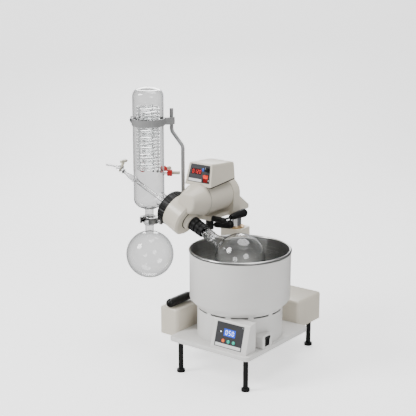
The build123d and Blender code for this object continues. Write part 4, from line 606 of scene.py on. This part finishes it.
# flat raised plates on the panels
def platePiece(name, plate, plane, material, body):
    bm = bmesh.new()
    bmesh.ops.create_grid(bm, x_segments=1, y_segments=1, size=0.5)
    bmesh.ops.scale(bm, vec=(plate["width"], plate["height"], 1), verts=bm.verts)
    bmesh.ops.bevel(bm, geom=bm.verts[:], offset=plate["corner"], affect="VERTICES", segments=3, profile=0.5,
                    material=-1)
    raiseFaces(bm, plate["thick"])
    bmesh.ops.translate(bm, vec=(plate["right"], plate["up"], plate["lift"]), verts=bm.verts)
    finishPiece(bm, name, material, body, plane, smooth=False)


headStrip = {"width": 0.0430, "height": 0.0070, "thick": 0.0002, "corner": 0.0008, "right": -0.0130,
             "up": -0.0185, "lift": -0.0003}
bathStrip = {"width": 0.0780, "height": 0.0080, "thick": 0.0002, "corner": 0.0008, "right": 0.0,
             "up": -0.0260, "lift": 0.0}
platePiece("head_strip", headStrip, headPlane, stripWhite, "head")
platePiece("bath_strip", bathStrip, bathPlane, stripWhite, "base")
print("plates made")


# ribbed rings, used by the clip, the caps, the nuts and the knob
def ringLoop(bm, radius, height, count, ribs=0, depth=0.0):
    place = Matrix.Translation((0, 0, height))
    made = bmesh.ops.create_circle(bm, segments=count, radius=radius, matrix=place)
    edges = ringEdges(made)
    if ribs:
        perRib = count // ribs
        for vert in made["verts"]:
            step = round(math.atan2(vert.co.y, vert.co.x) / math.tau * count) % perRib
            if step >= perRib / 2:
                vert.co.xy *= 1 - depth / radius
    return edges


def ribbedRing(bm, outer, inner, low, high, ribs, depth, edge=0.0005):
    # a hollow ring whose outer wall has ribs along its axis
    count = ribs * 4
    loops = [
        ringLoop(bm, outer - edge - depth, low, count),
        ringLoop(bm, outer, low + edge, count, ribs, depth),
        ringLoop(bm, outer, high - edge, count, ribs, depth),
        ringLoop(bm, outer - edge - depth, high, count),
        ringLoop(bm, inner, high, count),
        ringLoop(bm, inner, low, count),
    ]
    for first, second in zip(loops, loops[1:] + loops[:1]):
        bmesh.ops.bridge_loops(bm, edges=first + second)
    bmesh.ops.recalc_face_normals(bm, faces=bm.faces)


# combination clip: three ribbed bands on a smooth sleeve
clip = {
    "bands": ((0.1272, 0.1385, 0.0180), (0.1405, 0.1505, 0.0183), (0.1535, 0.1700, 0.0190)),
    "ribs": 40,
    "ribDepth": 0.0006,
    "bore": 0.0144,
    "sleeve": 0.0160,
    "sleeveStart": 0.1380,
    "sleeveEnd": 0.1540,
    "nose": 0.0151,
    "noseStart": 0.1520,
}
bm = bmesh.new()
for low, high, radius in clip["bands"]:
    bore = clip["nose"] if low > clip["noseStart"] else clip["bore"]
    ribbedRing(bm, radius, bore, low, high, clip["ribs"], clip["ribDepth"])
addTurned(bm, [
    (clip["bore"], clip["sleeveStart"]),
    (clip["sleeve"], clip["sleeveStart"]),
    (clip["sleeve"], clip["sleeveEnd"]),
    (clip["nose"], clip["sleeveEnd"]),
    (clip["nose"], clip["noseStart"]),
    (clip["bore"], clip["noseStart"]),
])
finishPiece(bm, "flask_clip_rings", finishes["black_plastic"], "rotor", driveLine,
            smooth=False, replaced=("flask_clip",))
print("clip made")

# speed knob: fluted skirt, flat cap and a white pointer line
knob = {"radius": 0.0061, "bore": 0.0012, "gap": 0.0004, "height": 0.0088, "ribs": 18, "ribDepth": 0.0004,
        "edge": 0.0008, "cap": 0.0030, "capHeight": 0.0089}
knobPointer = {"width": 0.0008, "height": 0.0042, "thick": 0.0001, "corner": 0.0002, "right": 0.0,
               "up": 0.0032, "lift": knob["capHeight"]}
knobCentre = headPlane.inverted() @ Vector(joints["speed_knob_turn"]["pos_m"])
knobPlace = headPlane @ Matrix.Translation((knobCentre.x, knobCentre.y, 0))
bm = bmesh.new()
ribbedRing(bm, knob["radius"], knob["bore"], knob["gap"], knob["height"], knob["ribs"], knob["ribDepth"],
           knob["edge"])
bmesh.ops.create_circle(bm, cap_ends=True, segments=48, radius=knob["cap"],
                        matrix=Matrix.Translation((0, 0, knob["capHeight"])))
finishPiece(bm, "speed_knob_cap", finishes["black_plastic"], "speed_knob", knobPlace,
            smooth=False, replaced=("speed_knob",))
platePiece("knob_pointer", knobPointer, knobPlace, stripWhite, "speed_knob")
print("knob made")

# push buttons: a short stem with a crowned cap
buttonCap = {"stem": 0.0020, "crown": 0.0008, "dome": 0.0003, "turns": (20, 45, 70, 90), "steps": 48}
startButton = {"right": 0.0116, "up": 0.0112, "radius": 0.0043, "proud": 0.0025}
bathButton = {"pitch": 0.016, "up": -0.0143, "radius": 0.0044, "proud": 0.0016}


def pushButton(name, node, plane, right, button, slotName):
    radius, crown, foot = button["radius"], buttonCap["crown"], -buttonCap["stem"]
    shoulder = button["proud"] - crown
    line = [(0.0, foot), (radius, foot), (radius, shoulder)]
    for turn in buttonCap["turns"]:
        angle = math.radians(turn)
        line.append((radius - crown * (1 - math.cos(angle)), shoulder + crown * math.sin(angle)))
    line.append((0.0, button["proud"] + buttonCap["dome"]))
    bm = bmesh.new()
    spinProfile(bm, line, buttonCap["steps"])
    place = plane @ Matrix.Translation((right, button["up"], 0))
    finishPiece(bm, name, finishes[slotName], node, place, replaced=(node,))


pushButton("start_cap", "start_button", headPlane, startButton["right"], startButton, "blue_plastic")
for spot, node, slotName in (
    (-1, "set_button", "orange_plastic"),
    (0, "down_button", "teal_plastic"),
    (1, "up_button", "teal_plastic"),
):
    pushButton(node + "_cap", node, bathPlane, spot * bathButton["pitch"], bathButton, slotName)
print("buttons made")

# lamp dots on the panels
dot = {"sunk": 0.0002, "rim": 0.0001, "topShare": 0.7, "top": 0.0005, "peak": 0.0006, "steps": 32}
dots = (
    {"name": "power_dot", "body": "head", "material": stripWhite, "plane": headPlane, "right": 0.0315,
     "up": -0.0160, "lift": -0.0003, "radius": 0.0016},
    {"name": "heat_lamp", "body": "base", "material": litWhite, "plane": bathPlane, "right": -0.0267,
     "up": 0.0070, "lift": 0.0, "radius": 0.0018},
    {"name": "corner_dot", "body": "base", "material": stripWhite, "plane": bathPlane, "right": 0.0375,
     "up": 0.0275, "lift": 0.0, "radius": 0.0009},
)
for lamp in dots:
    lift, radius = lamp["lift"], lamp["radius"]
    line = [(0.0, lift - dot["sunk"]), (radius, lift - dot["sunk"]), (radius, lift + dot["rim"]),
            (radius * dot["topShare"], lift + dot["top"]), (0.0, lift + dot["peak"])]
    bm = bmesh.new()
    spinProfile(bm, line, dot["steps"])
    place = lamp["plane"] @ Matrix.Translation((lamp["right"], lamp["up"], 0))
    finishPiece(bm, lamp["name"], lamp["material"], lamp["body"], place)
print("lamps made")

# hose connections: ribbed red caps and stepped white barbs
hose = {
    "angles": (35, 85, 150),
    "height": 0.484,
    "capStart": 0.0500,
    "capEnd": 0.0638,
    "capRadius": 0.0092,
    "capBore": 0.0052,
    "capEdge": 0.0008,
    "ribs": 20,
    "ribDepth": 0.0007,
    "stemStart": 0.0540,
    "stemRadius": 0.00425,
    "bore": 0.0018,
    "barbStart": 0.0650,
    "barbLength": 0.020,
    "barbRadius": 0.0050,
    "waistRadius": 0.0037,
    "barbs": 4,
    "crest": 0.15,         # shares of one barb's length
    "waist": 0.95,
}
stepLength = hose["barbLength"] / hose["barbs"]
barbLine = [(hose["bore"], hose["stemStart"]), (hose["stemRadius"], hose["stemStart"]),
            (hose["stemRadius"], hose["barbStart"])]
for count in range(hose["barbs"]):
    low = hose["barbStart"] + count * stepLength
    barbLine.append((hose["barbRadius"], low + stepLength * hose["crest"]))
    barbLine.append((hose["waistRadius"], low + stepLength * hose["waist"]))
barbLine.append((hose["bore"], hose["barbStart"] + hose["barbLength"]))
capRings = bmesh.new()
barbStems = bmesh.new()
for angle in hose["angles"]:
    way = Vector((math.cos(math.radians(angle)), math.sin(math.radians(angle)), 0))
    place = lineAt(Vector((glassAxis.x, glassAxis.y, hose["height"])), way)
    ring = bmesh.new()
    ribbedRing(ring, hose["capRadius"], hose["capBore"], hose["capStart"], hose["capEnd"], hose["ribs"],
               hose["ribDepth"], hose["capEdge"])
    addMesh(capRings, ring, place)
    addTurned(barbStems, barbLine, 40, place)
finishPiece(capRings, "hose_cap_rings", finishes["red_plastic"], "head", smooth=False,
            replaced=("hose_caps",))
finishPiece(barbStems, "hose_barb_stems", finishes["white_plastic"], "head",
            replaced=("hose_barbs",))
print("hose parts made")

# screw on the dome: a chamfered head with a socket, in shares of its radius and height
domeScrew = {
    "right": 0.0362,
    "back": 0.004,
    "down": 0.0065,
    "out": (0.93, -0.33, -0.14),
    "radius": 0.0032,
    "height": 0.0008,
    "outline": ((0.5, -0.625), (1, -0.625), (1, 0.75), (0.86, 1), (0.55, 1), (0.5, 0.9), (0.5, 0.2),
                (0, 0.15)),
}
barrelPoint = Vector(joints["head_tilt"]["pos_m"])
screwPoint = Vector((barrelPoint.x + domeScrew["right"], domeScrew["back"],
                     barrelPoint.z - domeScrew["down"]))
bm = bmesh.new()
spinProfile(bm, [(domeScrew["radius"] * across, domeScrew["height"] * rise)
                 for across, rise in domeScrew["outline"]], 24)
finishPiece(bm, "dome_screw", finishes["dark_steel"], "head",
            lineAt(screwPoint, Vector(domeScrew["out"]).normalized()), smooth=False)
print("screw made")

# cream ring at the drive's mouth, and behind it a black ring that is a painted shadow in the gap
sealRing = {
    "start": 0.1712,
    "end": 0.1840,
    "radius": 0.0236,
    "bore": 0.0158,
    "nose": ((0.0028, 0.0), (0.0012, 0.0008), (0.0002, 0.0024), (0.0, 0.0045)),
    "shadowRadius": 0.0262,
    "shadowWidth": 0.0012,
}
line = [(sealRing["bore"], sealRing["start"])]
line += [(sealRing["radius"] - inward, sealRing["start"] + along) for inward, along in sealRing["nose"]]
line += [(sealRing["radius"], sealRing["end"]), (sealRing["bore"], sealRing["end"])]
turnedPiece("seal_ring", line, driveLine, finishes["cream_paint"], "head",
            replaced=("front_seal",))
# painted shadow: a black ring where the gap between the ring and the drum face lies in shade
shadowEnd = sealRing["end"] + sealRing["shadowWidth"]
line = wallLine(sealRing["bore"], sealRing["shadowRadius"], sealRing["end"], shadowEnd)
turnedPiece("painted_gap_shadow", line, driveLine, finishes["seal"], "head")

# union nut: fluted ring round the drum, with a rounded cover
unionRing = {
    "start": 0.2365,
    "end": 0.2625,
    "cover": 0.0060,
    "radius": 0.0478,
    "drum": 0.0463,
    "flutes": 36,
    "fluteDepth": 0.0011,
    "edge": 0.0012,
    "inside": 0.2465,
    "port": 0.0245,
    "neck": 0.0182,
    "crown": ((0.0001, 0.0062), (-0.0016, 0.0026), (-0.0046, 0.0)),
}
drum, coverEnd = unionRing["drum"], unionRing["end"]
coverStart = coverEnd - unionRing["cover"]
bm = bmesh.new()
ribbedRing(bm, unionRing["radius"], drum, unionRing["start"], coverStart, unionRing["flutes"],
           unionRing["fluteDepth"], unionRing["edge"])
line = [(unionRing["port"], unionRing["inside"]), (drum + unionRing["crown"][0][0], unionRing["inside"])]
line += [(drum + outward, coverEnd - down) for outward, down in unionRing["crown"]]
line += [(unionRing["neck"], coverEnd), (unionRing["neck"], coverStart), (unionRing["port"], coverStart)]
addTurned(bm, line)
finishPiece(bm, "union_ring", finishes["black_plastic"], "head", driveLine, smooth=False,
            replaced=("union_nut",))

# dark seam round the barrel, behind its front cap
seam = {"front": 0.0301, "width": 0.0013, "radius": 0.04475, "root": 0.0434}
barrelLine = lineAt(Vector((barrelPoint.x, 0, barrelPoint.z)), Vector((0, 1, 0)))
line = wallLine(seam["root"], seam["radius"], seam["front"], seam["front"] + seam["width"])
turnedPiece("barrel_seam", line, barrelLine, finishes["seal"], "head")

# painted shadow: a dark strip under the control box's right side, where the box overhangs the barrel
boxShadow = {"front": (-0.1168, 0.030, 0.46246), "back": (-0.1168, 0.136, 0.47030), "height": 0.0024,
          "thick": 0.0070, "corner": 0.0003, "right": 0.0, "up": -0.0011, "lift": -0.0067}
frontEnd, backEnd = Vector(boxShadow["front"]), Vector(boxShadow["back"])
boxShadow["width"] = (backEnd - frontEnd).length
boxShadowPlane = planeAt((frontEnd + backEnd) / 2, rightWay, (backEnd - frontEnd).normalized())
platePiece("box_painted_shadow", boxShadow, boxShadowPlane, finishes["seal"], "head")

# lug that holds the support rod's foot against the barrel
lug = {
    "rod": (-0.228, 0.050),
    "rodRadius": 0.0085,
    "root": (-0.2055, 0.050),
    "rootRadius": 0.0095,
    "low": 0.4150,
    "high": 0.4335,
    "edge": 0.0015,
}
bm = bmesh.new()
for (across, back), radius in ((lug["rod"], lug["rodRadius"]), (lug["root"], lug["rootRadius"])):
    for height in (lug["low"], lug["high"]):
        place = Matrix.Translation((across, back, height))
        bmesh.ops.create_circle(bm, segments=40, radius=radius, matrix=place)
hull = bmesh.ops.convex_hull(bm, input=bm.verts)
loose = hull["geom_interior"] + hull["geom_unused"]
inside = {item for item in loose if isinstance(item, bmesh.types.BMVert)}
bmesh.ops.delete(bm, geom=list(inside), context="VERTS")
bmesh.ops.dissolve_limit(bm, angle_limit=0.02, verts=bm.verts, edges=bm.edges)
bmesh.ops.recalc_face_normals(bm, faces=bm.faces)
rodLug = finishPiece(bm, "rod_lug", finishes["cream_paint"], "head", smooth=False,
                     replaced=("rod_holder",))
softenEdges(rodLug, lug["edge"], 3)
print("head rings made")

# feed tube: thin inside the duct, wider in the condenser, with its ground joint outside
feed = {
    "tube": ((0.0023, 0.150), (0.0035, 0.150), (0.0035, 0.266), (0.0052, 0.271)),
    "joint": 0.39503,      # the points of the next four are measured from here
    "shoulder": ((0.0052, -0.004), (0.0074, -0.001)),
    "cone": ((0.0074, 0.0030), (0.0071, 0.0170), (0.0058, 0.0230), (0.0046, 0.0300), (0.0046, 0.0410)),
    "throat": ((0.0030, 0.0410), (0.0030, 0.0270), (0.0048, 0.0150), (0.0048, 0.0010), (0.0036, -0.0050)),
    "lip": {"radius": 0.0080, "proud": 0.0010, "half": 0.0008},
    "bore": ((0.0036, 0.272), (0.0023, 0.264)),
}


def fromJoint(points):
    return [(radius, feed["joint"] + along) for radius, along in points]


lip = feed["lip"]
lipPoints = [(lip["radius"] + lip["proud"] * math.sin(math.radians(turn)),
              lip["half"] * (1 - math.cos(math.radians(turn)))) for turn in (0, 60, 120, 180)]
line = list(feed["tube"]) + fromJoint(feed["shoulder"]) + fromJoint(lipPoints) + fromJoint(feed["cone"])
line += fromJoint(feed["throat"]) + list(feed["bore"])
turnedPiece("feed_pipe", line, driveLine, finishes["glass"], "head", 48, smooth=True,
            replaced=("feed_tube",))
print("feed tube made")

# fork clamp round the ball joint: a C-shaped channel with a thumb screw
fork = {
    "height": 0.352,
    "outer": 0.0268,
    "wall": 0.0240,
    "lower": 0.0206,
    "upper": 0.0172,
    "half": 0.0085,
    "sheet": 0.0020,
    "edge": 0.0007,
    "mouth": 68.0,
    "soft": 0.0003,
    "screwRadius": 0.0030,
    "screw": ((0.0, 0.0245), (0.0030, 0.0245), (0.0030, 0.0480), (0.0022, 0.0488), (0.0, 0.0488)),
    "boss": ((0.0030, 0.0240), (0.0072, 0.0240), (0.0072, 0.0285), (0.0064, 0.0292), (0.0030, 0.0292)),
    "nutRadius": 0.0076,
    "nutStart": 0.0375,
    "nutEnd": 0.0450,
    "nutRibs": 14,
    "nutRibDepth": 0.0008,
    "nutEdge": 0.0010,
}
half, sheet, edge, outer = fork["half"], fork["sheet"], fork["edge"], fork["outer"]
line = [
    (fork["lower"], -half),
    (outer - edge, -half),
    (outer, -half + edge),
    (outer, half - edge),
    (outer - edge, half),
    (fork["upper"], half),
    (fork["upper"], half - sheet),
    (fork["wall"], half - sheet),
    (fork["wall"], sheet - half),
    (fork["lower"], sheet - half),
]
bm = bmesh.new()
verts = [bm.verts.new((radius, 0, height)) for radius, height in line]
edges = [bm.edges.new(pair) for pair in zip(verts, verts[1:] + verts[:1])]
mouthTurn = Matrix.Rotation(math.radians(fork["mouth"] / 2 - 90), 3, "Z")
bmesh.ops.rotate(bm, cent=(0, 0, 0), matrix=mouthTurn, verts=bm.verts)
bmesh.ops.spin(bm, geom=verts + edges, cent=(0, 0, 0), axis=(0, 0, 1),
               angle=math.radians(360 - fork["mouth"]), steps=72)
bmesh.ops.holes_fill(bm, edges=[item for item in bm.edges if item.is_boundary])
bmesh.ops.recalc_face_normals(bm, faces=bm.faces)
screwTurn = Matrix.Rotation(math.pi / 2, 4, "Y")
thumbScrew = bmesh.new()
spinProfile(thumbScrew, fork["screw"], 40)
addMesh(bm, thumbScrew, screwTurn)
addTurned(bm, list(fork["boss"]), 40, screwTurn)
thumbNut = bmesh.new()
ribbedRing(thumbNut, fork["nutRadius"], fork["screwRadius"], fork["nutStart"], fork["nutEnd"],
           fork["nutRibs"], fork["nutRibDepth"], fork["nutEdge"])
addMesh(bm, thumbNut, screwTurn)
place = Matrix.Translation((glassAxis.x, glassAxis.y, fork["height"]))
forkClamp = finishPiece(bm, "fork_clamp", clampSteel, "head", place, smooth=False,
                        replaced=("joint_clamp",))
softenEdges(forkClamp, fork["soft"])
print("fork clamp made")

# power rocker: dark frame round it, and its upper half lit
bezel = {
    "width": 0.0178,
    "height": 0.0228,
    "rim": 0.0013,
    "thick": 0.0012,
    "right": 0.0218,
    "up": -0.0118,
    "lift": -0.0004,
    "edge": 0.0003,
}
bm = bmesh.new()
bmesh.ops.create_grid(bm, x_segments=1, y_segments=1, size=0.5)
bmesh.ops.scale(bm, vec=(bezel["width"], bezel["height"], 1), verts=bm.verts)
bmesh.ops.inset_region(bm, faces=bm.faces[:], thickness=bezel["rim"], use_boundary=True, use_even_offset=True)
middle = min(bm.faces, key=lambda face: face.calc_center_median().length)
bmesh.ops.delete(bm, geom=[middle], context="FACES")
raiseFaces(bm, bezel["thick"])
bmesh.ops.translate(bm, vec=(bezel["right"], bezel["up"], bezel["lift"]), verts=bm.verts)
rockerBezel = finishPiece(bm, "rocker_bezel", finishes["black_plastic"], "head", headPlane,
                          smooth=False)
softenEdges(rockerBezel, bezel["edge"])

rocker = {
    "lit": (0.85, 0.045, 0.02),
    "dull": (0.16, 0.004, 0.004),
    "blur": 0.0006,
    "glow": 0.35,
    "low": 0.2,
    "high": 0.35,
    "patch": 60.0,
}


def makeRocker(name, middle, up):
    # one moulded key whose upper half glows
    material, tree, shader = newMaterial(name)
    link = tree.links.new
    place = addNode(tree, "ShaderNodeTexCoord")
    offset = addNode(tree, "ShaderNodeVectorMath", operation="SUBTRACT")
    offset.inputs[1].default_value = middle
    height = addNode(tree, "ShaderNodeVectorMath", operation="DOT_PRODUCT")
    height.inputs[1].default_value = up
    mask = addNode(tree, "ShaderNodeMapRange")
    mask.inputs["From Min"].default_value = -rocker["blur"]
    mask.inputs["From Max"].default_value = rocker["blur"]
    mix = addNode(tree, "ShaderNodeMix", data_type="RGBA")
    mix.inputs[6].default_value = colour(*rocker["dull"])
    mix.inputs[7].default_value = colour(*rocker["lit"])
    patches = placeGroup(tree, glossPatches, Low=rocker["low"], High=rocker["high"], Scale=rocker["patch"])
    link(place.outputs["Object"], offset.inputs[0])
    link(offset.outputs["Vector"], height.inputs[0])
    link(height.outputs["Value"], mask.inputs["Value"])
    link(mask.outputs["Result"], mix.inputs["Factor"])
    link(mix.outputs[2], shader.inputs["Base Color"])
    link(mix.outputs[2], shader.inputs["Emission Color"])
    link(patches.outputs["Roughness"], shader.inputs["Roughness"])
    shader.inputs["Emission Strength"].default_value = rocker["glow"]
    return material


rockerMiddle = headPlane @ Vector((bezel["right"], bezel["up"], 0.0))
rockerUp = headOut.cross(rightWay).normalized()
nodes["power_rocker"].data.materials[0] = makeRocker("rockerRed", rockerMiddle, rockerUp)
print("rocker dressed")

# stage: pale floor that sweeps up behind
stageSet = {
    "floor": (0.86, 0.86, 0.86),
    "mirrored": (0.06, 0.06, 0.06),
    "roughness": 0.75,
    "glow": 0.25,
    "backGlow": 1.1,
    "reach": 6.0,
    "back": 2.2,
    "bend": 1.0,
    "height": 4.0,
    "turn": 37,            # degrees, to stand square behind the camera's view
}
reach, back, bend = stageSet["reach"], stageSet["back"], stageSet["bend"]
line = [(-reach, 0.0), (back, 0.0)]
line += [(back + bend * math.sin(math.radians(turn)), bend * (1 - math.cos(math.radians(turn))))
         for turn in range(10, 91, 10)]
line.append((back + bend, stageSet["height"]))
bm = bmesh.new()
verts = [bm.verts.new((-reach, y, z)) for y, z in line]
edges = [bm.edges.new(pair) for pair in zip(verts, verts[1:])]
sweep = bmesh.ops.extrude_edge_only(bm, edges=edges)
moved = [item for item in sweep["geom"] if isinstance(item, bmesh.types.BMVert)]
bmesh.ops.translate(bm, vec=(2 * reach, 0, 0), verts=moved)
bmesh.ops.recalc_face_normals(bm, faces=bm.faces)
floorTurn = Matrix.Rotation(math.radians(stageSet["turn"]), 3, "Z")
bmesh.ops.rotate(bm, cent=(0, 0, 0), matrix=floorTurn, verts=bm.verts)
floorMesh = bpy.data.meshes.new("floor")
bm.to_mesh(floorMesh)
bm.free()
floorMesh.shade_smooth()
floor = bpy.data.objects.new("floor", floorMesh)
scene.collection.objects.link(floor)

# the floor is bright to the camera and through glass, dim to its bounces and dark in mirrors
floorMaterial, floorTree, floorShader = newMaterial("floorPaper")
floorShader.inputs["Roughness"].default_value = stageSet["roughness"]
floorShader.inputs["Emission Color"].default_value = colour(1.0, 1.0, 1.0)
seen = addNode(floorTree, "ShaderNodeLightPath")
direct = addNode(floorTree, "ShaderNodeMath", operation="MAXIMUM")
bounce = addNode(floorTree, "ShaderNodeMath", operation="MULTIPLY")
bounce.inputs[1].default_value = stageSet["glow"]
glow = addNode(floorTree, "ShaderNodeMath", operation="MULTIPLY_ADD")
glow.inputs[1].default_value = stageSet["backGlow"]
shade = addNode(floorTree, "ShaderNodeMix", data_type="RGBA")
shade.inputs[6].default_value = colour(*stageSet["floor"])
shade.inputs[7].default_value = colour(*stageSet["mirrored"])
floorLink = floorTree.links.new
floorLink(seen.outputs["Is Camera Ray"], direct.inputs[0])
floorLink(seen.outputs["Is Transmission Ray"], direct.inputs[1])
floorLink(seen.outputs["Is Diffuse Ray"], bounce.inputs[0])
floorLink(direct.outputs[0], glow.inputs[0])
floorLink(bounce.outputs[0], glow.inputs[2])
floorLink(glow.outputs[0], floorShader.inputs["Emission Strength"])
floorLink(seen.outputs["Is Glossy Ray"], shade.inputs["Factor"])
floorLink(shade.outputs[2], floorShader.inputs["Base Color"])
floorMesh.materials.append(floorMaterial)
print("stage set")

# soft round lights, all aimed at the middle of the machine
aim = Vector((-0.12, 0.0, 0.36))
lights = (
    {"name": "keyLight", "place": (-1.6, -2.2, 2.4), "size": 1.4, "power": 130.0},
    {"name": "fillLight", "place": (2.4, -1.2, 1.4), "size": 1.2, "power": 26.0},
    {"name": "topLight", "place": (0.2, 0.5, 2.8), "size": 2.0, "power": 60.0},
    {"name": "backLight", "place": (-1.8, 1.9, 1.5), "size": 1.4, "power": 35.0},
)
for light in lights:
    data = bpy.data.lights.new(light["name"], "AREA")
    data.shape = "DISK"
    data.size = light["size"]
    data.energy = light["power"]
    lamp = bpy.data.objects.new(light["name"], data)
    scene.collection.objects.link(lamp)
    lamp.location = light["place"]
    lamp.rotation_mode = "QUATERNION"
    lamp.rotation_quaternion = (aim - lamp.location).to_track_quat("-Z", "Y")

world = bpy.data.worlds.new("studio")
world.use_nodes = True
background = world.node_tree.nodes["Background"]
background.inputs["Color"].default_value = colour(0.95, 0.96, 0.97)
background.inputs["Strength"].default_value = 0.45
scene.world = world
print("lights set")
